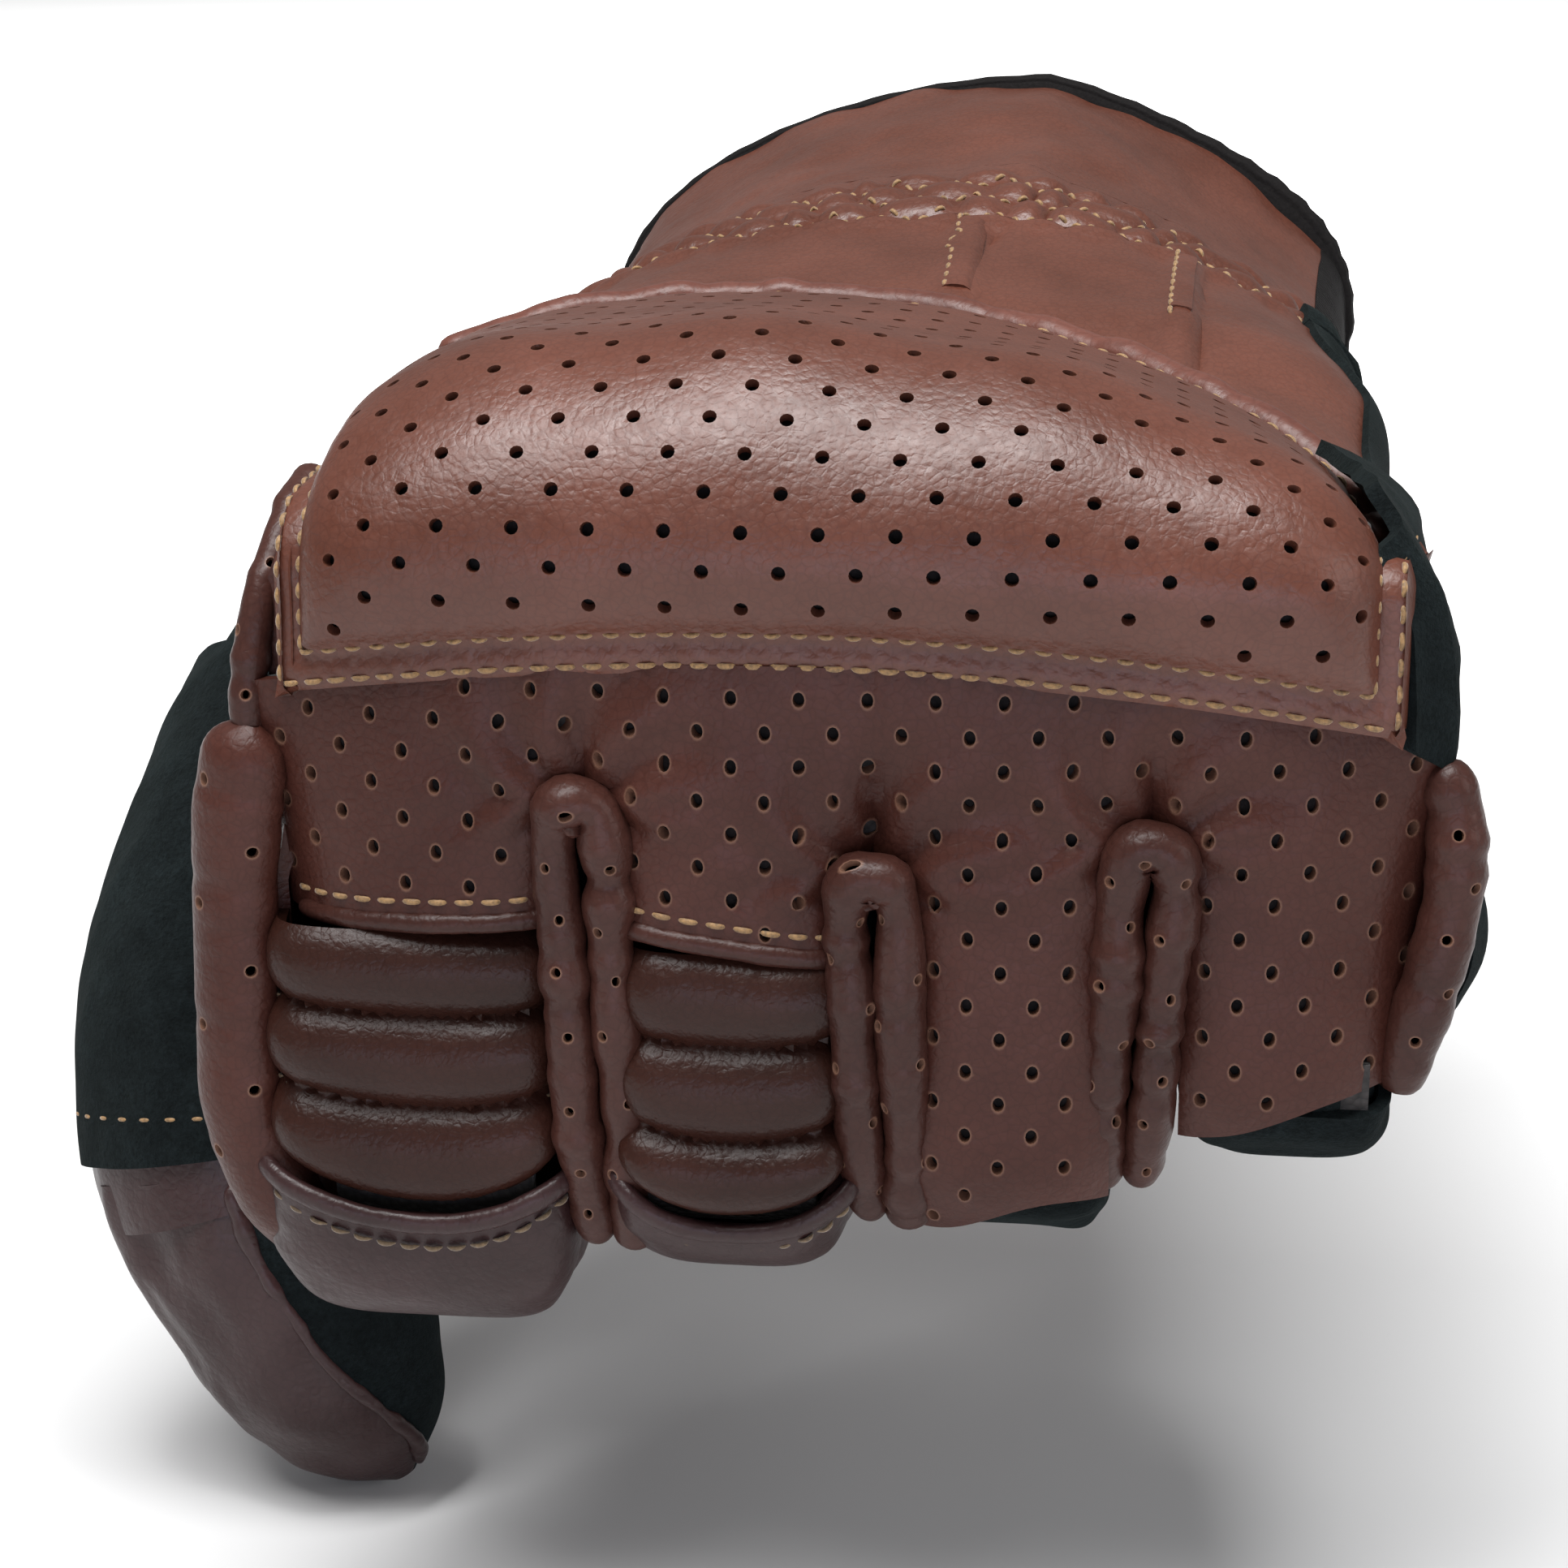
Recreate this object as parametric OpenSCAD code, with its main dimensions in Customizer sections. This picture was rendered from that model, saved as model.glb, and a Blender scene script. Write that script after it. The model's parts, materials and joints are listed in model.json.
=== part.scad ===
// Padded leather driving glove for the left hand, resting as a loose fist.
// Origin: centre of the wrist opening. -Y runs along the hand to the knuckles,
// +X points to the little finger and +Z to the back of the hand. Millimetres.

/* [Cuff and hand] */
// Width of the wrist opening, outside
cuff_w = 84; // [78:1:90]
// Height of the wrist opening, outside
cuff_h = 54; // [50:1:58]
// Width of the hand just behind the knuckles
hand_w = 92; // [88:1:96]
// Distance from the wrist opening to the axis of the knuckles
knuckle_reach = 124; // [120:1:128]
// Thickness of a leather panel with its backing
leather_t = 1.8; // [1.4:0.1:2]

/* [Knuckle guard] */
// Radius from the knuckle axis to the outside of the guard
guard_r = 17; // [16.8:0.1:18]
// Half width of the guard
guard_half_w = 47; // [46.5:0.5:48]
// Thickness of the foam under the guard leather
guard_foam_t = 2.7; // [2:0.1:2.7]
// Diameter of the piping along the top of the guard
piping_d = 3.4; // [3:0.1:4]

/* [Fingers] */
// Depth of a finger from front to palm side
finger_depth = 21; // [20.5:0.5:22]
// Diameter of the rolled welts along the fingers
welt_d = 3.2; // [2.8:0.1:3.4]
// Height of the padded ribs over a finger joint
rib_t = 2.4; // [2:0.1:2.6]
// Length of the bent part of a finger beyond its middle joint
tip_length = 38; // [36:1:38]

/* [Hidden] */

leather = "#5c342a";
dark_leather = "#32262a";
suede = "#1a2322";
foam = "#8a8478";
roll = "#82504b";

// Clearance between pieces of different bodies
gap = 0.4;
// Roundness of the hand's and fingers' sections: 2 is an ellipse
roundness = 2.6;

// Where the rigid stretches start and end along Y
cuff_end_y = -36;
hand_start_y = -58;
hand_end_y = 15.4 - knuckle_reach;
guard_start_y = -80;
// The hand's side is open behind this for the thumb
thumb_hole_y = -84;

// Outline of the hand and cuff along Y: half width, top and bottom
half_w_at = [[-124, hand_w / 2 - 1], [-84, hand_w / 2], [-58, 41], [-36, 39], [0, cuff_w / 2]];
top_at = [[-124, 11.5], [-84, 12], [-58, 18.5], [-36, 21], [0, cuff_h / 2]];
bottom_at = [[-124, -14], [-84, -16], [-58, -24], [-36, -26], [0, -cuff_h / 2]];

// Knuckle axis, shared by the four fingers
knuckle_y = -knuckle_reach;
knuckle_z = 0;
guard_drop = 17;
guard_bottom_z = -6.4;
guard_t = 1.5;
foam_depth = 1.7;
// The lining turns with the fingers under the foam
lining_depth = 4.6;
// How much deeper the back of the hand lies where the guard covers it
under_guard = [[-78, 3.6], [-70, 0]];
// Plates beside the knuckles: where they lie and their thickness
knuckle_side_x = 45.4;
side_plate_t = 1.2;

// Each finger: centre in X, half width, front face in Y, height of its middle joint
INDEX = [-34.8, 11.7, -137.5, -50];
MIDDLE = [-10, 10.3, -139, -46.5];
RING = [12.5, 9.6, -138, -45];
PINKY = [34.5, 10, -135, -38.6];
finger_top_z = -7.4;
wall_t = 1.3;
crown = 2.2;
underside_drop = 7;
// The undersides and side walls of the fingers start this far above the middle joint
wall_start = 13;
// Radius of the bend that a welt makes over the gap between two fingers
welt_bend_r = 1.9;

// Padded ribs: height of one, distance between two, and the top edge of the highest
rib_h = 7;
rib_pitch = 7.2;
INDEX_RIB_TOP = -26.8;
MIDDLE_RIB_TOP = -29;

// Middle joint of a finger
joint_back = 11.6;
lining_r = 9;
lining_t = 1.2;

function joint_y(f) = f[2] + joint_back;
function power(t, p) = sign(t) * pow(abs(t), p);

// Closed thin solid: the surface at(u, v, depth) for u and v in their ranges,
// from depth 0 on the outside to depth t on the inside
module sheet(at, us, vs, nu, nv, t, depth = 0) {
    row = nv + 1;
    layer = (nu + 1) * row;
    points = [
        for (k = [0, 1]) for (i = [0 : nu]) for (j = [0 : nv])
            at(us[0] + (us[1] - us[0]) * i / nu, vs[0] + (vs[1] - vs[0]) * j / nv, depth + k * t)
    ];
    quads = concat(
        [for (i = [0 : nu - 1]) for (j = [0 : nv - 1])
            [i * row + j, i * row + j + 1, (i + 1) * row + j + 1, (i + 1) * row + j]],
        [for (i = [0 : nu - 1]) for (j = [0 : nv - 1])
            [layer + i * row + j, layer + (i + 1) * row + j,
             layer + (i + 1) * row + j + 1, layer + i * row + j + 1]],
        [for (i = [0 : nu - 1]) [i * row, (i + 1) * row, layer + (i + 1) * row, layer + i * row]],
        [for (i = [0 : nu - 1])
            [i * row + nv, layer + i * row + nv, layer + (i + 1) * row + nv, (i + 1) * row + nv]],
        [for (j = [0 : nv - 1]) [j, layer + j, layer + j + 1, j + 1]],
        [for (j = [0 : nv - 1])
            [nu * row + j, nu * row + j + 1, layer + nu * row + j + 1, layer + nu * row + j]]
    );
    // Which way the quads face, from the middle of the sheet
    m = floor(nu / 2) * row + floor(nv / 2);
    out = points[m] - points[layer + m];
    turned = cross(points[m + row] - points[m], points[m + 1] - points[m]) * out < 0;
    tris = [for (q = quads) for (t3 = [[q[0], q[1], q[2]], [q[0], q[2], q[3]]]) t3];
    polyhedron(points, turned ? tris : [for (t3 = tris) [t3[2], t3[1], t3[0]]]);
}

// Hand and cuff: a point at y, at angle a round the section, at a depth inside
function hand_point(y, a, d) =
    let (w = lookup(y, half_w_at) - d)
    let (top = lookup(y, top_at) - d)
    let (low = lookup(y, bottom_at) + d)
    let (p = 2 / roundness)
    [w * power(cos(a), p), y, (top + low) / 2 + (top - low) / 2 * power(sin(a), p)];

module hand_patch(ys, angles, t = leather_t, depth = 0) {
    around = max(5, round(abs(angles[1] - angles[0]) / 11));
    along = max(3, round(abs(ys[1] - ys[0]) / 9));
    sheet(function(y, a, d) hand_point(y, a, d), ys, angles, along, around, t, depth);
}

// Guard: s runs from 0 at its rear edge over the knuckles to 3 at its lower seam,
// and a goes across it from the little finger's side to the index finger's
function guard_path(s) =
    s < 1 ? [knuckle_y * s + guard_start_y * (1 - s), knuckle_z + guard_r, 90]
    : s < 2 ? [knuckle_y - guard_r * sin(90 * (s - 1)), knuckle_z + guard_r * cos(90 * (s - 1)),
               90 + 90 * (s - 1)]
    : [knuckle_y - guard_r, knuckle_z + (guard_bottom_z - knuckle_z) * (s - 2), 180];

function guard_point(s, a, d) =
    let (p = guard_path(s))
    let (inward = guard_drop * (1 - power(sin(a), 2 / roundness)) + d)
    [(guard_half_w - d) * power(cos(a), 2 / roundness),
     p[0] - cos(p[2]) * inward, p[1] - sin(p[2]) * inward];

// Back of the hand, which dips under the guard
function back_point(y, a, d) = hand_point(y, a, d + lookup(y, under_guard));

module back_patch(ys, angles, t, depth = 0) {
    along = round(abs(ys[1] - ys[0]) / 4);
    around = max(2, round(abs(angles[1] - angles[0]) / 11));
    sheet(function(y, a, d) back_point(y, a, d), ys, angles, along, around, t, depth);
}

// Lining over the knuckles: the guard's section turned about the knuckle axis
function lining_point(turn, a, d) =
    let (p = 2 / roundness)
    let (r = guard_r - guard_drop * (1 - power(sin(a), p)) - d)
    [(guard_half_w - d) * power(cos(a), p), knuckle_y + r * cos(turn), knuckle_z + r * sin(turn)];

// Finger beyond its middle joint: s from 0 at the joint to 1 at the tip, bending upwards,
// and a round the section, where 270 degrees is the outside of the bend
tip_start_turn = -18;
tip_end_turn = 44;
function tip_size(f, s) = f[1] - 1.9 - 2 * s;
function tip_round(s) = s < 0.72 ? 1 : sqrt(max(0, 1 - pow((s - 0.72) / 0.29, 2)));
function tip_point(f, s, a, d) =
    let (turn = tip_start_turn + (tip_end_turn - tip_start_turn) * s)
    let (r = tip_length / ((tip_end_turn - tip_start_turn) * PI / 180))
    let (y = joint_y(f) + r * (sin(turn) - sin(tip_start_turn)))
    let (z = f[3] + r * (cos(tip_start_turn) - cos(turn)))
    let (w = (tip_size(f, s) - d) * tip_round(s))
    let (h = (10.2 - 1.6 * s - d) * tip_round(s))
    let (side = h * power(sin(a), 2 / roundness))
    [f[0] + w * power(cos(a), 2 / roundness), y - sin(turn) * side, z + cos(turn) * side];

// Thumb: the line through its middle from its root at 0 to its tip at 6, and its radius
thumb_x = [[0, -30], [1, -48], [2, -59], [3, -63.5], [4, -62.5], [5, -53], [6, -43]];
thumb_y = [[0, -42], [1, -64], [2, -86], [3, -97], [4, -101], [5, -102], [6, -102]];
thumb_z = [[0, -8], [1, -16], [2, -30], [3, -47], [4, -64], [5, -79], [6, -90]];
thumb_r = [[0, 19], [1, 17], [2, 14], [3, 12.6], [4, 11.8], [5, 10.6], [5.6, 8.4], [6, 2.5]];

function unit(v) = v / norm(v);
function thumb_line(s) = [lookup(s, thumb_x), lookup(s, thumb_y), lookup(s, thumb_z)];
function thumb_point(s, a, d) =
    let (along = unit(thumb_line(min(6, s + 0.4)) - thumb_line(max(0, s - 0.4))))
    let (front = unit(cross([1, 0, 0], along)))
    let (side = cross(front, along))
    let (r = lookup(s, thumb_r) * (1 - d / 12))
    thumb_line(s) + (side * cos(a) + front * sin(a)) * r;

module thumb_patch(ss, angles, t, depth = 0) {
    along = max(3, round((ss[1] - ss[0]) * 3));
    around = max(6, round((angles[1] - angles[0]) / 20));
    sheet(function(s, a, d) thumb_point(s, a, d), ss, angles, along, around, t, depth);
}

// Sector of a cylinder shell about an axis along X, angles from +Y towards +Z
module drum(x0, x1, y, z, r, t, from, to) {
    translate([x0, y, z])
        rotate([90, 0, 90])
            rotate([0, 0, from])
                rotate_extrude(angle = to - from, $fn = 48)
                    translate([r - t, 0])
                        square([t, x1 - x0]);
}

// Cuff ---------------------------------------------------------------------
module cuff_back() {
    color(leather) hand_patch([cuff_end_y, -1], [30, 180]);
}

module cuff_palm_side() {
    color(leather) hand_patch([cuff_end_y, -1], [180, 330]);
}

module cuff_side_elastic() {
    color("#15130f") hand_patch([cuff_end_y, -1], [-30, 30], 2.4, -0.6);
}

// Rolled edge round the wrist opening
module cuff_binding() {
    steps = 40;
    sides = 8;
    points = [for (i = [0 : steps - 1]) for (j = [0 : sides - 1])
        hand_point(0.1 + 1.0 * sin(360 * j / sides), 360 * i / steps,
                   0.9 - 1.5 * cos(360 * j / sides))];
    faces = [for (i = [0 : steps - 1]) for (j = [0 : sides - 1])
        let (a = i * sides + j)
        let (b = i * sides + (j + 1) % sides)
        let (c = ((i + 1) % steps) * sides + (j + 1) % sides)
        let (e = ((i + 1) % steps) * sides + j)
        for (t3 = [[a, b, c], [a, c, e]]) t3];
    color("#15130f") translate([0, 1.1, 0]) polyhedron(points, faces);
}

// Wrist --------------------------------------------------------------------
module wrist_shirred_back() {
    color(leather) hand_patch([hand_start_y + gap, cuff_end_y - gap], [20, 160], 1.6, -1);
}

module wrist_palm_gather() {
    color(leather) hand_patch([hand_start_y + gap, cuff_end_y - gap], [160, 380], 1.6);
}

// Three elastic tapes sewn inside the shirring
module wrist_elastic_rows() {
    for (y = [-53, -47, -41])
        color("#20201e") hand_patch([y - 1.5, y + 1.5], [35, 145], 0.8, 0.9);
}

// Hand ---------------------------------------------------------------------
module hand_back() {
    color(leather) back_patch([hand_end_y, hand_start_y], [22, 158], leather_t);
}

// Raised tucks that run from the shirring to the guard
module hand_back_tucks() {
    for (a = [66, 112])
        color(leather) back_patch([guard_start_y + 4, hand_start_y - 1], [a, a + 4], 1.2, -1.8);
}

module index_side_panel() {
    color(leather) hand_patch([hand_end_y, thumb_hole_y], [158, 214]);
}

module pinky_side_panel() {
    color(suede) hand_patch([hand_end_y, hand_start_y], [-34, 22]);
}

module palm_panel() {
    color(suede) hand_patch([hand_end_y, hand_start_y], [250, 326]);
}

// Edge of the palm between the index finger and the thumb's opening
module palm_thumb_edge() {
    color(suede) hand_patch([hand_end_y, thumb_hole_y], [214, 250]);
}

module guard_piping() {
    steps = 30;
    sides = 8;
    rim = 0.5 * piping_d;
    points = concat(
        [for (i = [0 : steps]) for (j = [0 : sides - 1])
            let (p = guard_point(0, 28 + 124 * i / steps, rim * (1 - cos(360 * j / sides))))
            p + [0, rim * (1.2 + sin(360 * j / sides)), -0.2]]
    );
    tube = [for (i = [0 : steps - 1]) for (j = [0 : sides - 1])
        let (a = i * sides + j)
        let (b = i * sides + (j + 1) % sides)
        for (t3 = [[a, b, b + sides], [a, b + sides, a + sides]]) t3];
    ends = concat(
        [for (j = [1 : sides - 2]) [0, j + 1, j]],
        [for (j = [1 : sides - 2]) [steps * sides, steps * sides + j, steps * sides + j + 1]]
    );
    color(roll) polyhedron(points, [for (t3 = concat(tube, ends)) [t3[2], t3[1], t3[0]]]);
}

module knuckle_guard() {
    color(leather)
        sheet(function(s, a, d) guard_point(s, a, d), [0, 3], [18, 162], 18, 18, guard_t);
}

module guard_foam() {
    color(foam)
        sheet(function(s, a, d) guard_point(s, a, d), [0.06, 2.7], [24, 156], 15, 14,
              guard_foam_t, foam_depth);
}

// Leather of the palm where the fingers fold
module palm_crease() {
    back = hand_end_y - 0.5;
    front = knuckle_y + underside_drop;
    color(suede) translate([-40, front, -13.8]) cube([80, back - front, 1.4]);
}

// Sides of the hand beside the knuckles
module knuckle_side(x, shade) {
    r = 12;
    low = finger_top_z + gap;
    color(shade)
        translate([x, 0, 0])
            rotate([90, 0, 90])
                linear_extrude(side_plate_t)
                    intersection() {
                        translate([knuckle_y, knuckle_z]) circle(r = r, $fn = 60);
                        translate([knuckle_y - r, low]) square([2 * r, r - low]);
                    }
}

module index_knuckle_side() {
    knuckle_side(-knuckle_side_x - side_plate_t, leather);
}

module pinky_knuckle_side() {
    knuckle_side(knuckle_side_x, suede);
}

// Fingers up to their middle joints ----------------------------------------
module knuckle_lining() {
    color("#3a3432")
        sheet(function(turn, a, d) lining_point(turn, a, d), [62, 222], [24, 156], 14, 14,
              lining_t, lining_depth);
}

// Crowned plate: s is 1 on the front of a finger and -1 on its palm side
module finger_plate(f, s, z0, z1) {
    half = f[1] - wall_t - 0.1;
    face = s > 0 ? f[2] : f[2] + finger_depth;
    arc = [for (i = [-6 : 6]) [f[0] + half * i / 6, face + s * crown * pow(i / 6, 2)]];
    translate([0, 0, z0])
        linear_extrude(z1 - z0)
            polygon(concat(arc, [for (i = [12 : -1 : 0]) arc[i] + [0, s * leather_t]]));
}

module index_front() {
    color(leather) finger_plate(INDEX, 1, INDEX[3] + 5, finger_top_z);
}

module middle_front() {
    color(leather) finger_plate(MIDDLE, 1, MIDDLE[3] + 5, finger_top_z);
}

module ring_front() {
    color(leather) finger_plate(RING, 1, RING[3] + 5, finger_top_z);
}

module pinky_front() {
    color(leather) finger_plate(PINKY, 1, PINKY[3] + 5, finger_top_z);
}

module underside(f) {
    color(suede) finger_plate(f, -1, f[3] + wall_start, finger_top_z - underside_drop);
}

module index_underside() {
    underside(INDEX);
}

module middle_underside() {
    underside(MIDDLE);
}

module ring_underside() {
    underside(RING);
}

module pinky_underside() {
    underside(PINKY);
}

// One strip folded over between two fingers, whose legs are their facing walls
module fourchette(f, g, top) {
    left = f[0] + f[1];
    right = g[0] - g[1];
    middle = (left + right) / 2;
    r = (right - left) / 2;
    low = max(f[3], g[3]) + wall_start;
    front = max(f[2], g[2]) + crown;
    back = min(f[2], g[2]) + finger_depth - crown;
    color(suede)
        translate([0, back, 0])
            rotate([90, 0, 0])
                linear_extrude(back - front)
                    difference() {
                        union() {
                            translate([middle, top - r]) circle(r = r + wall_t, $fn = 40);
                            translate([left - wall_t, low])
                                square([2 * (r + wall_t), top - r - low]);
                        }
                        translate([middle, top - r]) circle(r = r, $fn = 40);
                        translate([left, low - 1]) square([2 * r, top - r - low + 1]);
                    }
}

module index_middle_fourchette() {
    fourchette(INDEX, MIDDLE, -17.5);
}

module middle_ring_fourchette() {
    fourchette(MIDDLE, RING, -21.5);
}

module ring_pinky_fourchette() {
    fourchette(RING, PINKY, -19.5);
}

// Rolled edge along both legs and over the fold between two fingers
module welt(f, g, top) {
    middle = (f[0] + f[1] + g[0] - g[1]) / 2;
    low = max(f[3], g[3]) + 2;
    y = min(f[2], g[2]) - 1.5;
    leg = top - welt_bend_r - low;
    color(roll)
        translate([middle, y, top - welt_bend_r]) {
            rotate([90, 0, 0])
                rotate_extrude(angle = 180, $fn = 40)
                    translate([welt_bend_r, 0]) circle(d = welt_d, $fn = 24);
            for (s = [-1, 1])
                translate([s * welt_bend_r, 0, -leg])
                    cylinder(d = welt_d, h = leg, $fn = 24);
        }
}

module index_middle_welt() {
    welt(INDEX, MIDDLE, -15.5);
}

module middle_ring_welt() {
    welt(MIDDLE, RING, -19.5);
}

module ring_pinky_welt() {
    welt(RING, PINKY, -17.5);
}

module outer_wall(f, s) {
    x = s < 0 ? f[0] - f[1] : f[0] + f[1] - wall_t;
    color(leather)
        translate([x, f[2] + crown, f[3] + wall_start])
            cube([wall_t, finger_depth - 2 * crown, finger_top_z - f[3] - wall_start]);
}

module index_outer_wall() {
    outer_wall(INDEX, -1);
}

module pinky_outer_wall() {
    outer_wall(PINKY, 1);
}

module side_welt(f, s) {
    color(roll)
        translate([f[0] + s * (f[1] + 1.7), f[2] + 3.5, f[3] + 6])
            cylinder(d = welt_d, h = finger_top_z - f[3] - 6, $fn = 24);
}

module index_side_welt() {
    side_welt(INDEX, -1);
}

module pinky_side_welt() {
    side_welt(PINKY, 1);
}

// Middle joints ------------------------------------------------------------
// Three padded ribs: rounded bars across the finger, the lowest one at the joint
module rib_pad(f, top) {
    half = f[1] - 2.2;
    color(dark_leather)
        for (i = [0 : 2])
            translate([f[0] - half, f[2] - 1.1, top - rib_h / 2 - i * rib_pitch])
                rotate([0, 90, 0])
                    linear_extrude(2 * half)
                        intersection() {
                            circle(r = rib_h / 2, $fn = 32);
                            translate([-rib_h / 2, -rib_t]) square([rib_h, rib_t + 0.8]);
                        }
}

module index_rib_pad() {
    rib_pad(INDEX, INDEX_RIB_TOP);
}

module middle_rib_pad() {
    rib_pad(MIDDLE, MIDDLE_RIB_TOP);
}

// Plain leather that bends over a finger's middle joint
module joint_panel(f) {
    half = f[1] - 1.6;
    color(dark_leather) drum(f[0] - half, f[0] + half, joint_y(f), f[3], 12.4, 1.3, 168, 222);
}

module ring_joint_panel() {
    joint_panel(RING);
}

module pinky_joint_panel() {
    joint_panel(PINKY);
}

module joint_lining(f) {
    half = f[1] - 3.4;
    color("#3a3432") drum(f[0] - half, f[0] + half, joint_y(f), f[3], lining_r, lining_t, 178, 240);
}

module index_joint_lining() {
    joint_lining(INDEX);
}

module middle_joint_lining() {
    joint_lining(MIDDLE);
}

module ring_joint_lining() {
    joint_lining(RING);
}

module pinky_joint_lining() {
    joint_lining(PINKY);
}

module tip_back(f, shade) {
    color(shade)
        sheet(function(s, a, d) tip_point(f, s, a, d), [0.06, 1], [180, 360], 11, 12, 1.7);
}

module tip_underside(f) {
    color(suede)
        sheet(function(s, a, d) tip_point(f, s, a, d), [0.32, 1], [0, 180], 8, 12, 1.7);
}

module index_tip_back() {
    tip_back(INDEX, dark_leather);
}

module middle_tip_back() {
    tip_back(MIDDLE, dark_leather);
}

module ring_tip_back() {
    tip_back(RING, suede);
}

module pinky_tip_back() {
    tip_back(PINKY, suede);
}

module index_tip_underside() {
    tip_underside(INDEX);
}

module middle_tip_underside() {
    tip_underside(MIDDLE);
}

module ring_tip_underside() {
    tip_underside(RING);
}

module pinky_tip_underside() {
    tip_underside(PINKY);
}

// Thumb --------------------------------------------------------------------
module thumb_gusset() {
    color(suede) thumb_patch([0.85, 1.75], [1, 359], 1.4);
}

module thumb_outer_patch() {
    color(suede) thumb_patch([1.8, 3.7], [0, 180], 1.6);
}

module thumb_inner_panel() {
    color(leather) thumb_patch([1.8, 3.7], [180, 360], 1.6);
}

module thumb_joint_panel() {
    color(leather) thumb_patch([3.76, 4.24], [1, 359], 1.2);
}

module thumb_tip_back() {
    color(leather) thumb_patch([4.3, 6], [0, 180], 1.6);
}

module thumb_tip_underside() {
    color(suede) thumb_patch([4.3, 6], [180, 360], 1.6);
}

cuff_back();
cuff_palm_side();
cuff_side_elastic();
cuff_binding();
wrist_shirred_back();
wrist_palm_gather();
wrist_elastic_rows();
hand_back();
hand_back_tucks();
index_side_panel();
pinky_side_panel();
palm_panel();
palm_thumb_edge();
guard_piping();
knuckle_guard();
guard_foam();
palm_crease();
index_knuckle_side();
pinky_knuckle_side();
knuckle_lining();
index_front();
middle_front();
ring_front();
pinky_front();
index_underside();
middle_underside();
ring_underside();
pinky_underside();
index_middle_fourchette();
middle_ring_fourchette();
ring_pinky_fourchette();
index_middle_welt();
middle_ring_welt();
ring_pinky_welt();
index_outer_wall();
pinky_outer_wall();
index_side_welt();
pinky_side_welt();
index_rib_pad();
middle_rib_pad();
ring_joint_panel();
pinky_joint_panel();
index_joint_lining();
middle_joint_lining();
ring_joint_lining();
pinky_joint_lining();
index_tip_back();
middle_tip_back();
ring_tip_back();
pinky_tip_back();
index_tip_underside();
middle_tip_underside();
ring_tip_underside();
pinky_tip_underside();
thumb_gusset();
thumb_outer_patch();
thumb_inner_panel();
thumb_joint_panel();
thumb_tip_back();
thumb_tip_underside();
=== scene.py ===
"""Padded leather driving glove for the left hand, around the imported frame.

Lengths inside this script are millimetres in the row frame, and make() turns them into metres.
+X points to the little finger, -Y to the knuckles and +Z to the back of the hand."""

import json
import math

import bpy
import numpy as np
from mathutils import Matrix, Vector
from mathutils.geometry import delaunay_2d_cdt


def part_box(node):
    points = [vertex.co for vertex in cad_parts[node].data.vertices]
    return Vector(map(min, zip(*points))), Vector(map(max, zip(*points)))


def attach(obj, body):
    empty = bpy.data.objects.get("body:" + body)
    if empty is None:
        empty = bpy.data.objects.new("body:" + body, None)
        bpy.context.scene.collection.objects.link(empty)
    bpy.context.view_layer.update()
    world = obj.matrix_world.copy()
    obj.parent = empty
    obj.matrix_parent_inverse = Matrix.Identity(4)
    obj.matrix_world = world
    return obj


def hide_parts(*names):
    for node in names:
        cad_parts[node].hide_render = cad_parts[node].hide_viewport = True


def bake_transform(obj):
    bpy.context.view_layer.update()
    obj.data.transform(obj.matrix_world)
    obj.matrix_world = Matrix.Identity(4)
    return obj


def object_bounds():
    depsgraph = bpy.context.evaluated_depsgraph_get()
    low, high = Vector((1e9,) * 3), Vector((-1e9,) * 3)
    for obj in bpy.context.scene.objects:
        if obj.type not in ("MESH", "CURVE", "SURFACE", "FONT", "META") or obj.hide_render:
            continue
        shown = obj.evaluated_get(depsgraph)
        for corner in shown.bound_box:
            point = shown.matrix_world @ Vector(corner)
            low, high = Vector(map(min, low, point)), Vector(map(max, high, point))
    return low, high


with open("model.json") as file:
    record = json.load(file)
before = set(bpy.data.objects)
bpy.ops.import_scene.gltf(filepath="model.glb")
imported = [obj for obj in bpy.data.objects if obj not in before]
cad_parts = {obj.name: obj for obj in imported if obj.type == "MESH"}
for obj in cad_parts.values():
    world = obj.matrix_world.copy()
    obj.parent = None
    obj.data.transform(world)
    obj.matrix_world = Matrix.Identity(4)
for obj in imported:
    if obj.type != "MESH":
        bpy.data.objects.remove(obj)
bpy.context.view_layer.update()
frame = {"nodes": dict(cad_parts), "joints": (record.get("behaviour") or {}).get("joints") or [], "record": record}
MM = 0.001


def cad_box(node):
    """The lowest and highest corner of a CAD node, in millimetres."""
    low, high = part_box(node)
    return np.array(low) / MM, np.array(high) / MM


JOINT = {j["name"]: np.array(j["pos_m"]) / MM for j in frame["joints"]}
FINGERS = ("index", "middle", "ring", "pinky")


class Finger:
    """Where one finger lies: its middle, half width, front face and middle joint."""

    def __init__(self, name):
        low, high = cad_box(name + "_front")
        tip_low, tip_high = cad_box(name + "_tip_back")
        self.name = name
        self.x = (low[0] + high[0]) / 2
        self.half = (high[0] - low[0]) / 2 + 1.4
        self.front = low[1]
        self.joint = JOINT[name + "_flex"]
        self.depth = self.joint[1] - self.front
        self.tip_end = tip_high[1]


HAND = {name: Finger(name) for name in FINGERS}
KNUCKLE = JOINT["knuckle_flex"]
GUARD_LOW, GUARD_HIGH = cad_box("knuckle_guard")
GUARD_R = GUARD_HIGH[2] - KNUCKLE[2]
LEFT_W, RIGHT_W = GUARD_HIGH[0] + 4.6, GUARD_HIGH[0] + 1.4

# ------------------------------------------------------------------ numbers


def smooth(x, low, high):
    t = np.clip((x - low) / (high - low), 0, 1)
    return t * t * (3 - 2 * t)


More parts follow.
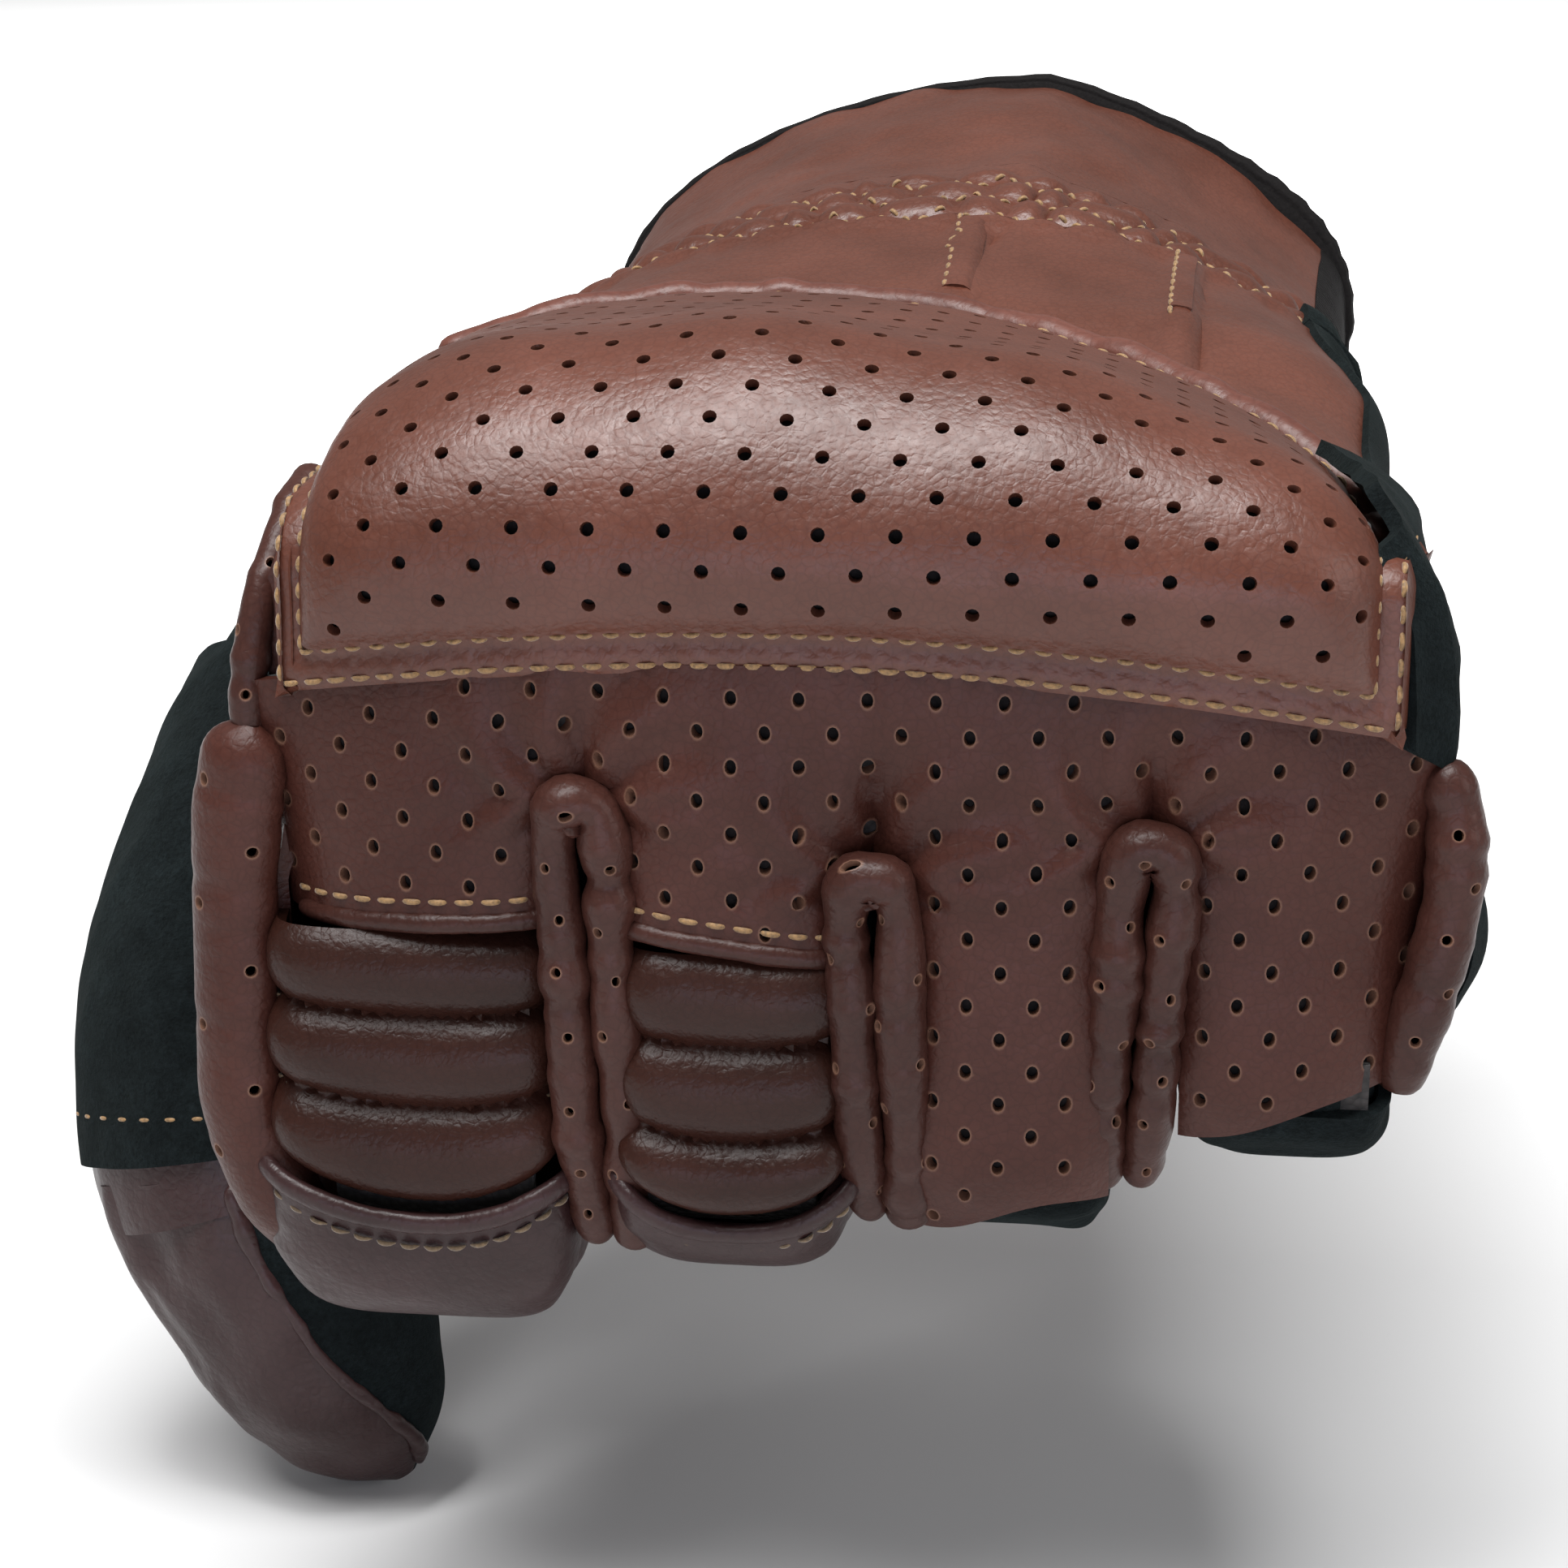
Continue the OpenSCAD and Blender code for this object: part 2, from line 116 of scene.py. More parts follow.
def table(x, points):
    """A smooth curve through given points."""
    xs, ys = np.array(points, float).T
    slopes = np.gradient(ys, xs)
    x = np.clip(x, xs[0], xs[-1])
    i = np.clip(np.searchsorted(xs, x) - 1, 0, len(xs) - 2)
    h = xs[i + 1] - xs[i]
    t = (x - xs[i]) / h
    return (
        (2 * t**3 - 3 * t**2 + 1) * ys[i]
        + (t**3 - 2 * t**2 + t) * h * slopes[i]
        + (3 * t**2 - 2 * t**3) * ys[i + 1]
        + (t**3 - t**2) * h * slopes[i + 1]
    )


def power(t, p):
    return np.sign(t) * np.abs(t) ** p


def lattice(ix, iy, iz, seed):
    n = np.sin(ix * 127.1 + iy * 311.7 + iz * 74.7 + seed * 19.19) * 43758.5453
    return 2 * (n - np.floor(n)) - 1


def noise(p, size, seed=0):
    """Smooth noise from -1 to 1 at points p, with features of this size."""
    q = np.asarray(p, float) / size + 100
    base = np.floor(q)
    f = q - base
    f = f * f * (3 - 2 * f)
    total = np.zeros(len(q))
    for dx in (0, 1):
        for dy in (0, 1):
            for dz in (0, 1):
                weight = (
                    np.where(dx, f[:, 0], 1 - f[:, 0])
                    * np.where(dy, f[:, 1], 1 - f[:, 1])
                    * np.where(dz, f[:, 2], 1 - f[:, 2])
                )
                total += weight * lattice(base[:, 0] + dx, base[:, 1] + dy, base[:, 2] + dz, seed)
    return total


def stack(*columns):
    columns = np.broadcast_arrays(*columns)
    return np.stack(columns, axis=-1).astype(float)


# ---------------------------------------------------------------- materials


def material(name, color, rough, build):
    mat = bpy.data.materials.new(name)
    mat.use_nodes = True
    nodes = mat.node_tree.nodes
    bsdf = nodes["Principled BSDF"]
    bsdf.inputs["Base Color"].default_value = (*color, 1)
    bsdf.inputs["Roughness"].default_value = rough
    build(mat.node_tree, bsdf, color)
    return mat


def coordinates(tree, stretch=(1, 1, 1)):
    """The piece's own coordinates, in millimetres."""
    place = tree.nodes.new("ShaderNodeTexCoord")
    mapping = tree.nodes.new("ShaderNodeMapping")
    mapping.inputs["Scale"].default_value = [1000 * s for s in stretch]
    tree.links.new(place.outputs["Object"], mapping.inputs["Vector"])
    return mapping.outputs["Vector"]


def noise_node(tree, where, size, detail=4, rough=0.55):
    n = tree.nodes.new("ShaderNodeTexNoise")
    n.inputs["Scale"].default_value = 1 / size
    n.inputs["Detail"].default_value = detail
    n.inputs["Roughness"].default_value = rough
    tree.links.new(where, n.inputs["Vector"])
    return n.outputs["Fac"]


def cells(tree, where, size, feature="F1"):
    v = tree.nodes.new("ShaderNodeTexVoronoi")
    v.feature = feature
    v.inputs["Scale"].default_value = 1 / size
    tree.links.new(where, v.inputs["Vector"])
    return v.outputs["Distance"]


def ramp(tree, value, low, high, a, b):
    """Maps low..high of a value to the colours or numbers a..b."""
    r = tree.nodes.new("ShaderNodeValToRGB")
    r.color_ramp.elements[0].position = low
    r.color_ramp.elements[1].position = high
    r.color_ramp.elements[0].color = a if len(a) == 4 else (*a, 1)
    r.color_ramp.elements[1].color = b if len(b) == 4 else (*b, 1)
    tree.links.new(value, r.inputs["Fac"])
    return r.outputs["Color"]


def math_node(tree, kind, a, b):
    m = tree.nodes.new("ShaderNodeMath")
    m.operation = kind
    for i, v in enumerate((a, b)):
        if isinstance(v, (int, float)):
            m.inputs[i].default_value = v
        else:
            tree.links.new(v, m.inputs[i])
    return m.outputs[0]


def mix(tree, factor, a, b, kind="MIX"):
    m = tree.nodes.new("ShaderNodeMix")
    m.data_type = "RGBA"
    m.blend_type = kind
    for socket, v in ((m.inputs["Factor"], factor), (m.inputs[6], a), (m.inputs[7], b)):
        if isinstance(v, tuple):
            socket.default_value = (*v, 1)
        elif isinstance(v, (int, float)):
            socket.default_value = v
        else:
            tree.links.new(v, socket)
    return m.outputs[2]


def bump(tree, bsdf, height, strength, distance, after=None):
    b = tree.nodes.new("ShaderNodeBump")
    b.inputs["Strength"].default_value = strength
    b.inputs["Distance"].default_value = distance * MM
    tree.links.new(height, b.inputs["Height"])
    if after:
        tree.links.new(after, b.inputs["Normal"])
    tree.links.new(b.outputs["Normal"], bsdf.inputs["Normal"])
    return b.outputs["Normal"]


def hide_look(grain, patch_color, spread, shine=0.3):
    """Pebbled hide: fine cells, wider crackle lines, soft folds and patches of worn dye."""

    def build(tree, bsdf, color):
        where = coordinates(tree)
        pebble = cells(tree, where, grain, "SMOOTH_F1")
        crackle = cells(tree, where, grain * 1.6, "DISTANCE_TO_EDGE")
        lines = ramp(tree, crackle, 0.0, 0.14, (0, 0, 0), (1, 1, 1))
        soft = noise_node(tree, where, 1.4, 5)
        patches = noise_node(tree, where, 16, 3)
        tone = ramp(tree, patches, 0.32, 0.7, color, patch_color)
        speck = ramp(tree, noise_node(tree, where, 0.5, 4), 0.3, 0.75, (0.82, 0.82, 0.82), (1.1, 1.1, 1.1))
        tone = mix(tree, 0.55, tone, speck, "MULTIPLY")
        tone = mix(tree, 0.3, tone, mix(tree, lines, (0.55, 0.5, 0.5), (1, 1, 1)), "MULTIPLY")
        rim = tree.nodes.new("ShaderNodeAttribute")
        rim.attribute_name = "raw_edge"
        tone = mix(tree, rim.outputs["Fac"], tone, (0.17, 0.088, 0.058))
        tree.links.new(tone, bsdf.inputs["Base Color"])
        rough = ramp(tree, soft, 0.3, 0.75, (0.33, 0.33, 0.33), (0.48 + spread,) * 3)
        tree.links.new(rough, bsdf.inputs["Roughness"])
        folds = bump(tree, bsdf, soft, 0.34, 0.28)
        grains = bump(tree, bsdf, pebble, 0.34, 0.14, folds)
        bump(tree, bsdf, lines, 0.16, 0.06, grains)
        bsdf.inputs["Specular IOR Level"].default_value = shine
        bsdf.inputs["Sheen Weight"].default_value = 0.0
        bsdf.inputs["Sheen Roughness"].default_value = 0.45
        bsdf.inputs["Sheen Tint"].default_value = (0.9, 0.8, 0.78, 1)

    return build


def suede_look(tree, bsdf, color):
    where = coordinates(tree)
    nap = noise_node(tree, where, 0.45, 6, 0.7)
    clumps = noise_node(tree, where, 2.2, 4, 0.6)
    brushed = noise_node(tree, where, 11, 2)
    tone = ramp(tree, nap, 0.3, 0.72, tuple(0.45 * c for c in color), tuple(2.3 * c for c in color))
    shade = ramp(tree, clumps, 0.35, 0.7, (0.6, 0.62, 0.62), (1.35, 1.4, 1.38))
    tone = mix(tree, 0.8, tone, shade, "MULTIPLY")
    wear = ramp(tree, brushed, 0.4, 0.72, (0.8, 0.8, 0.8), (1.5, 1.6, 1.55))
    tone = mix(tree, 0.7, tone, wear, "MULTIPLY")
    tree.links.new(tone, bsdf.inputs["Base Color"])
    first = bump(tree, bsdf, clumps, 0.5, 0.5)
    bump(tree, bsdf, nap, 0.9, 0.35, first)
    bsdf.inputs["Specular IOR Level"].default_value = 0.06
    bsdf.inputs["Sheen Weight"].default_value = 0.07
    bsdf.inputs["Sheen Roughness"].default_value = 0.6
    bsdf.inputs["Sheen Tint"].default_value = (0.3, 0.4, 0.38, 1)


def thread_look(tree, bsdf, color):
    where = coordinates(tree)
    twist = noise_node(tree, where, 0.3, 3)
    tone = ramp(tree, twist, 0.3, 0.7, tuple(0.55 * c for c in color), tuple(1.4 * c for c in color))
    tree.links.new(tone, bsdf.inputs["Base Color"])
    bump(tree, bsdf, twist, 0.5, 0.1)
    bsdf.inputs["Sheen Weight"].default_value = 0.3


def ribbed_look(tree, bsdf, color):
    """Woven elastic: ribs that run round the cuff's edge."""
    where = coordinates(tree)
    wave = tree.nodes.new("ShaderNodeTexWave")
    wave.bands_direction = "Y"
    wave.inputs["Scale"].default_value = 0.32
    wave.inputs["Distortion"].default_value = 0.4
    tree.links.new(where, wave.inputs["Vector"])
    weave = noise_node(tree, where, 0.35, 3)
    tone = mix(tree, weave, tuple(0.4 * c for c in color), tuple(2.2 * c for c in color))
    tree.links.new(tone, bsdf.inputs["Base Color"])
    ribs = bump(tree, bsdf, wave.outputs["Fac"], 0.8, 0.4)
    bump(tree, bsdf, weave, 0.4, 0.15, ribs)
    bsdf.inputs["Specular IOR Level"].default_value = 0.12


def knit_look(tree, bsdf, color):
    where = coordinates(tree, (1, 1, 1))
    loops = cells(tree, where, 0.7)
    tone = ramp(tree, loops, 0.1, 0.7, tuple(1.5 * c for c in color), tuple(0.5 * c for c in color))
    tree.links.new(tone, bsdf.inputs["Base Color"])
    bump(tree, bsdf, loops, 0.6, 0.3)
    bsdf.inputs["Sheen Weight"].default_value = 0.3


BROWN = (0.08, 0.0235, 0.0128)
PLUM = (0.024, 0.0095, 0.0088)
LEATHER = material("leather", BROWN, 0.42, hide_look(0.52, (0.115, 0.037, 0.0225), 0.0, 0.42))
DARK_LEATHER = material("dark_leather", PLUM, 0.45, hide_look(0.62, (0.04, 0.018, 0.018), -0.04, 0.3))
RIB_LEATHER = material("rib_leather", (0.022, 0.0076, 0.005), 0.36, hide_look(0.45, (0.036, 0.0125, 0.0085), -0.12, 0.2))
ROLLED = material("rolled_leather", (0.036, 0.0128, 0.0095), 0.4, hide_look(0.6, (0.058, 0.021, 0.0155), -0.06, 0.22))
# Darker copy of the guard's brown leather: its colour is painted shade for surfaces that face the front and side, away
# from the top lamps. It is used on the finger fronts, the index finger's side panel and its side roll.
SHADED_FRONT_LEATHER = material("front_leather_painted_shade", (0.046, 0.0142, 0.0098), 0.42,
                         hide_look(0.52, (0.066, 0.022, 0.0155), 0.0, 0.2))
PIPING = material("piping_leather", (0.1, 0.034, 0.024), 0.36, hide_look(0.9, (0.13, 0.047, 0.034), 0))
SUEDE = material("suede", (0.0033, 0.0044, 0.005), 0.95, suede_look)
THREAD = material("thread", (0.23, 0.128, 0.045), 0.6, thread_look)
DARK_THREAD = material("dark_thread", (0.12, 0.075, 0.035), 0.7, thread_look)
ELASTIC = material("elastic", (0.006, 0.0052, 0.0052), 0.8, ribbed_look)
LINING = material("lining", (0.02, 0.016, 0.015), 0.9, knit_look)

# ------------------------------------------------------------------- meshes


def normals_of(points, faces):
    tris = np.array([(f[0], f[1], f[2]) for f in faces] + [(f[0], f[2], f[3]) for f in faces if len(f) == 4])
    a, b, c = points[tris[:, 0]], points[tris[:, 1]], points[tris[:, 2]]
    n = np.cross(b - a, c - a)
    total = np.zeros_like(points)
    for k in range(3):
        np.add.at(total, tris[:, k], n)
    return total / np.maximum(np.linalg.norm(total, axis=1, keepdims=True), 1e-12)


def thicken(points, faces, t):
    """A closed sheet of thickness t, with the given points on the outside."""
    n = normals_of(points, faces)
    count = len(points)
    inner = [tuple(count + i for i in reversed(f)) for f in faces]
    edges = {}
    for f in faces:
        for i, j in zip(f, f[1:] + f[:1], strict=True):
            if (j, i) in edges:
                del edges[(j, i)]
            else:
                edges[(i, j)] = True
    rim = [(j, i, count + i, count + j) for i, j in edges]
    return np.vstack([points, points - n * t]), list(faces) + inner + rim


def make(name, points, faces, mat, where, replaces=(), fade=None):
    """A piece from points in millimetres. where is a body to ride on; a (body, body, start, end) tuple leaves the piece
    unattached, baked where it stands.
    """
    mesh = bpy.data.meshes.new(name)
    mesh.from_pydata((np.asarray(points) * MM).tolist(), [], [tuple(f) for f in faces])
    mesh.polygons.foreach_set("use_smooth", [True] * len(mesh.polygons))
    if fade is not None:
        mesh.attributes.new("raw_edge", "FLOAT", "POINT").data.foreach_set("value", fade.astype(np.float32))
    mesh.update()
    mesh.set_sharp_from_angle(angle=math.radians(58))
    obj = bpy.data.objects.new(name, mesh)
    bpy.context.scene.collection.objects.link(obj)
    mesh.materials.append(mat)
    if isinstance(where, str):
        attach(obj, where)
    else:
        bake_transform(obj)
    if replaces:
        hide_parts(*replaces)
    return obj


def outward(points, faces, away):
    """The faces, turned so that their normals point the way away() gives."""
    n = normals_of(points, faces)
    if np.sum(n * away(points)) < 0:
        return [tuple(reversed(f)) for f in faces]
    return faces


def grid_faces(nu, nv, closed=False):
    faces = []
    for i in range(nu - 1):
        for j in range(nv if closed else nv - 1):
            a, b = i * nv + j, i * nv + (j + 1) % nv
            faces.append((a, b, b + nv, a + nv))
    return faces


def patch(name, surface, us, vs, away, t, mat, where, replaces=(), steps=1.0):
    """A sheet over a rectangle of a surface's own coordinates."""
    nu = max(4, int(abs(us[1] - us[0]) / steps) + 1) if steps > 0 else int(-steps)
    nv = max(4, int(abs(vs[1] - vs[0]) / steps) + 1) if steps > 0 else int(-steps)
    u, v = np.meshgrid(np.linspace(*us, nu), np.linspace(*vs, nv), indexing="ij")
    points = surface(u.ravel(), v.ravel())
    faces = outward(points, grid_faces(nu, nv), away)
    points, faces = thicken(points, faces, t)
    return make(name, points, faces, mat, where, replaces)


def inside(poly, p):
    """Which points lie inside a polygon."""
    x, y = p[:, 0], p[:, 1]
    hit = np.zeros(len(p), bool)
    for (x0, y0), (x1, y1) in zip(poly, np.roll(poly, -1, axis=0), strict=True):
        crosses = (y0 > y) != (y1 > y)
        with np.errstate(divide="ignore", invalid="ignore"):
            hit ^= crosses & (x < (x1 - x0) * (y - y0) / (y1 - y0) + x0)
    return hit


def edge_distance(poly, p):
    best = np.full(len(p), 1e9)
    for a, b in zip(poly, np.roll(poly, -1, axis=0), strict=True):
        d = b - a
        t = np.clip(((p - a) @ d) / max(d @ d, 1e-9), 0, 1)
        best = np.minimum(best, np.linalg.norm(p - a - t[:, None] * d, axis=1))
    return best


def even_outline(poly, step):
    """The closed outline with points at most a step apart."""
    out = []
    for a, b in zip(poly, np.roll(poly, -1, axis=0), strict=True):
        n = max(1, int(np.ceil(np.linalg.norm(b - a) / step)))
        out += [a + (b - a) * i / n for i in range(n)]
    return np.array(out)


HOLE_SIDES = 12


def cut_sheet(outline, holes, step):
    """Points and faces that fill an outline, with round holes of (x, y, radius, stretch) left open."""
    outline = even_outline(np.array(outline, float), step)
    low, high = outline.min(0), outline.max(0)
    gx, gy = np.meshgrid(np.arange(low[0], high[0], step), np.arange(low[1], high[1], step), indexing="ij")
    inner = np.stack([gx.ravel(), gy.ravel()], 1)
    inner[:, 1] += np.where(np.round(inner[:, 0] / step) % 2 == 0, 0, step / 2)
    inner = inner[inside(outline, inner)]
    inner = inner[edge_distance(outline, inner) > 0.55 * step]
    angles = np.arange(HOLE_SIDES) * 2 * math.pi / HOLE_SIDES
    loops, rings = [], []
    for x, y, r, stretch in holes:
        inner = inner[np.hypot(inner[:, 0] - x, (inner[:, 1] - y) / stretch) > 1.75 * r]
        loops.append(np.stack([x + r * np.cos(angles), y + r * stretch * np.sin(angles)], 1))
        rings.append(np.stack([x + 1.4 * r * np.cos(angles), y + 1.4 * r * stretch * np.sin(angles)], 1))
    points = np.vstack([outline, *loops, *rings, inner])
    n = len(outline)
    faces = [list(range(n))]
    for k in range(len(holes)):
        faces.append([n + k * HOLE_SIDES + i for i in range(HOLE_SIDES)])
    edges = [(f[i], f[(i + 1) % len(f)]) for f in faces for i in range(len(f))]
    verts, _, tris, _, _, _ = delaunay_2d_cdt([Vector(p) for p in points], edges, [], 0, 1e-6)
    verts = np.array(verts)
    tris = np.array([t for t in tris if len(t) == 3])
    middle = verts[tris].mean(1)
    keep = inside(outline, middle)
    for x, y, r, stretch in holes:
        keep &= np.hypot(middle[:, 0] - x, (middle[:, 1] - y) / stretch) > 0.95 * r
    return verts, [tuple(int(i) for i in t) for t in tris[keep]]


def raw_rims(flat, holes):
    """1 at the cut edge of each hole, falling to 0 a little way out."""
    fade = np.zeros(len(flat))
    for x, y, r, stretch in holes:
        d = np.hypot(flat[:, 0] - x, (flat[:, 1] - y) / stretch) - r
        fade = np.maximum(fade, 1 - np.clip(d / 0.16, 0, 1))
    return fade


def cut_panel(name, outline, surface, away, holes, step, t, mat, where, replaces=(), rims=1.0):
    flat, faces = cut_sheet(outline, holes, step)
    points = surface(flat[:, 0], flat[:, 1])
    faces = outward(points, faces, away)
    fade = raw_rims(flat, holes) * rims
    points, faces = thicken(points, faces, t)
    return make(name, points, faces, mat, where, replaces, np.concatenate([fade, fade]))


def punched(outline, pitch_x, pitch_y, r, margin, stretch=1.0, origin=(0, 0), keep=None):
    """A staggered grid of holes, clear of the outline by the margin."""
    outline = even_outline(np.array(outline, float), 2)
    low, high = outline.min(0), outline.max(0)
    spots = []
    for j in range(int((low[1] - origin[1]) / pitch_y) - 1, int((high[1] - origin[1]) / pitch_y) + 2):
        for i in range(int((low[0] - origin[0]) / pitch_x) - 2, int((high[0] - origin[0]) / pitch_x) + 2):
            spots.append((origin[0] + (i + 0.5 * (j % 2)) * pitch_x, origin[1] + j * pitch_y))
    spots = np.array(spots)
    spots = spots[inside(outline, spots)]
    spots = spots[edge_distance(outline, spots) > margin]
    if keep is not None:
        spots = spots[keep(spots)]
    return [(x, y, r, stretch) for x, y in spots]


def resample(path, step):
    """Points a step apart along a line of points."""
    path = np.asarray(path, float)
    gone = np.concatenate([[0], np.cumsum(np.linalg.norm(np.diff(path, axis=0), axis=1))])
    n = max(2, int(gone[-1] / step) + 1)
    at = np.linspace(0, gone[-1], n)
    return np.stack([np.interp(at, gone, path[:, k]) for k in range(path.shape[1])], 1)


def spline(points, n=60):
    """A smooth line through a few points."""
    points = np.asarray(points, float)
    t = np.linspace(0, len(points) - 1, n)
    return np.stack([table(t, list(enumerate(points[:, k]))) for k in range(points.shape[1])], 1)


def frames_along(path, up):
    along = np.gradient(path, axis=0)
    along /= np.linalg.norm(along, axis=1, keepdims=True)
    side = np.cross(along, up)
    side /= np.maximum(np.linalg.norm(side, axis=1, keepdims=True), 1e-9)
    return along, side, np.cross(side, along)


def roll(name, path, up, width, height, mat, where, replaces=(), wrinkle=0.12, seed=1, sides=18,
         taper=0.0, step=0.5):
    """A rolled strip of leather along a path: an oval tube with round ends and cross wrinkles."""
    path = resample(path, step)
    up = np.broadcast_to(up, path.shape) if np.ndim(up) == 1 else resample(up, 1e9)
    along, side, top = frames_along(path, up)
    n = len(path)
    s = np.linspace(0, 1, n)
    ends = np.sqrt(np.clip(1 - (np.abs(2 * s - 1) - 1 + 2.4 * step / n * 0 + 3.0 / (n * step)) ** 2
                           * (n * step / 3.0) ** 2 * (np.abs(2 * s - 1) > 1 - 3.0 / (n * step)), 0.02, 1))
    angles = np.arange(sides) * 2 * math.pi / sides
    rings = []
    for k in range(n):
        fold = 1 + wrinkle * float(noise(np.array([[k * step, seed * 7.0, 0.0]]), 1.5, seed)[0])
        w = width / 2 * ends[k] * fold * (1 - taper * s[k])
        h = height / 2 * ends[k] * fold * (1 - taper * s[k])
        rings.append(path[k] + np.outer(np.cos(angles) * w, side[k]) + np.outer(np.sin(angles) * h, top[k]))
    points = np.vstack(rings)
    crease = noise(points * [1, 1, 1], 1.1, seed + 5) * wrinkle * 0.8 + noise(points, 3.1, seed + 9) * wrinkle * 1.2
    centre = np.repeat(path, sides, axis=0)
    away = points - centre
    points = points + away / np.maximum(np.linalg.norm(away, axis=1, keepdims=True), 1e-9) * crease[:, None]
    faces = grid_faces(n, sides, closed=True)
    faces = outward(points, faces, lambda p: p - centre)
    caps = [tuple(range(sides)), tuple(range((n - 1) * sides, n * sides))]
    first_out = np.dot(np.cross(points[1] - points[0], points[2] - points[0]), -along[0]) > 0
    caps[0] = caps[0] if first_out else tuple(reversed(caps[0]))
    caps[1] = tuple(reversed(caps[1])) if first_out else caps[1]
    return make(name, points, faces + caps, mat, where, replaces)


STITCH_PITCH, STITCH_LENGTH, STITCH_R = 2.1, 1.65, 0.25


def stitches(name, path, normals, mat, where, pitch=STITCH_PITCH, length=STITCH_LENGTH, r=STITCH_R, lift=0.12,
             slant=0.0):
    """A row of thread stitches: plump beads that dip into the leather at both ends."""
    path = np.asarray(path, float)
    gone = np.concatenate([[0], np.cumsum(np.linalg.norm(np.diff(path, axis=0), axis=1))])
    rings, sides = 7, 7
    points, faces = [], []
    for k in range(int((gone[-1] - length) / pitch) + 1):
        at = k * pitch + np.linspace(0, length, rings)
        line = np.stack([np.interp(at, gone, path[:, c]) for c in range(3)], 1)
        up = np.array([np.interp(at[rings // 2], gone, normals[:, c]) for c in range(3)])
        up /= np.linalg.norm(up)
        along = line[-1] - line[0]
        along /= np.linalg.norm(along)
        side = np.cross(along, up)
        base = len(points) * 1
        for i, t in enumerate(np.linspace(-1, 1, rings)):
            wide = r * math.sqrt(max(1 - abs(t) ** 3, 0.08))
            height = lift - 0.28 * t * t
            centre = line[i] + up * height + side * slant * t
            for q in range(sides):
                angle = 2 * math.pi * q / sides
                points.append(centre + side * math.cos(angle) * wide + up * math.sin(angle) * wide * 0.85)
        for i in range(rings - 1):
            for q in range(sides):
                a, b = base + i * sides + q, base + i * sides + (q + 1) % sides
                faces.append((a, a + sides, b + sides, b))
        faces.append(tuple(base + q for q in range(sides)))
        faces.append(tuple(base + (rings - 1) * sides + q for q in reversed(range(sides))))
    return make(name, np.array(points), faces, mat, where)


def row_on(surface, us, vs, away_from=None):
    """A line on a surface and the surface's normals along it."""
    us, vs = np.broadcast_arrays(np.asarray(us, float), np.asarray(vs, float))
    p = surface(us, vs)
    e = 0.05
    n = np.cross(surface(us + e, vs) - p, surface(us, vs + e) - p)
    n /= np.maximum(np.linalg.norm(n, axis=1, keepdims=True), 1e-12)
    if away_from is not None and np.sum(n * away_from(p)) < 0:
        n = -n
    return p, n


# ------------------------------------------------------------- knuckle guard

CREST_X = -12.0
SEAM_Z = cad_box("index_front")[1][2] + 1
SIDE_TUCK = (LEFT_W - 2.4, RIGHT_W - 2.8)
REAR_LENGTH = GUARD_HIGH[1] - KNUCKLE[1]
ARC_LENGTH = GUARD_R * math.pi / 2


def seam_z(x):
    """The seam under the guard is highest near the middle finger."""
    return SEAM_Z + 0.3 - 4.4 * ((x + 6) / 47) ** 2


def section_drop(x, left, right):
    """How far a rounded section has fallen at x. left and right give (depth, roundness)."""
    q = np.where(x < CREST_X, (CREST_X - x) / (LEFT_W + CREST_X), (x - CREST_X) / (RIGHT_W - CREST_X))
    q = np.clip(q, 0, 0.995)
    a = left[0] * (1 - (1 - q ** left[1]) ** (1 / left[1]))
    b = right[0] * (1 - (1 - q ** right[1]) ** (1 / right[1]))
    return np.where(x < CREST_X, a, b)


def guard_base(x, s):
    """Padless guard: x across, s in millimetres from the knuckle's top, negative behind it."""
    left_tuck = smooth(-x, SIDE_TUCK[0], SIDE_TUCK[0] + 1.6)
    right_tuck = smooth(x, SIDE_TUCK[1], SIDE_TUCK[1] + 1.8)
    depth = 2.2 * (left_tuck + right_tuck)
    turn = np.clip(s / ARC_LENGTH, 0, 1) * math.pi / 2
    front = smooth(turn, 0.1, math.pi / 2)
    top_drop = section_drop(x, (19, 2.5), (25, 2.0))
    front_drop = section_drop(x, (8, 3), (9, 2.7))
    drop = top_drop * (1 - front) + front_drop * front + depth
    rear = np.clip(-s, 0, None)
    below = np.clip(s - ARC_LENGTH, 0, None)
    radius = GUARD_R - drop
    y = KNUCKLE[1] + rear - np.sin(turn) * radius
    z = KNUCKLE[2] + np.cos(turn) * radius - below - rear * 0.02 - 0.0005 * rear**2
    return stack(x + 0.7 * left_tuck - 0.7 * right_tuck, y, z)


def guard_start(x):
    """The slanted rear edge, further forward towards the little finger."""
    return -REAR_LENGTH * table(x, [(-50, 0.6), (-30, 0.86), (-10, 0.94), (14, 0.78), (30, 0.52), (47, 0.2)])


def guard_end(x):
    return ARC_LENGTH + KNUCKLE[2] - seam_z(x)


BAND = 3.1
SIDE_LEFT, SIDE_RIGHT = -LEFT_W + 2.9, RIGHT_W - 3.8
KNUCKLE_SPOTS = ((-31, -3, 9, 1.0), (-9, -2, 9.5, 1.5), (14, 1, 9.5, 1.3), (33, 5, 8.5, 1.0))


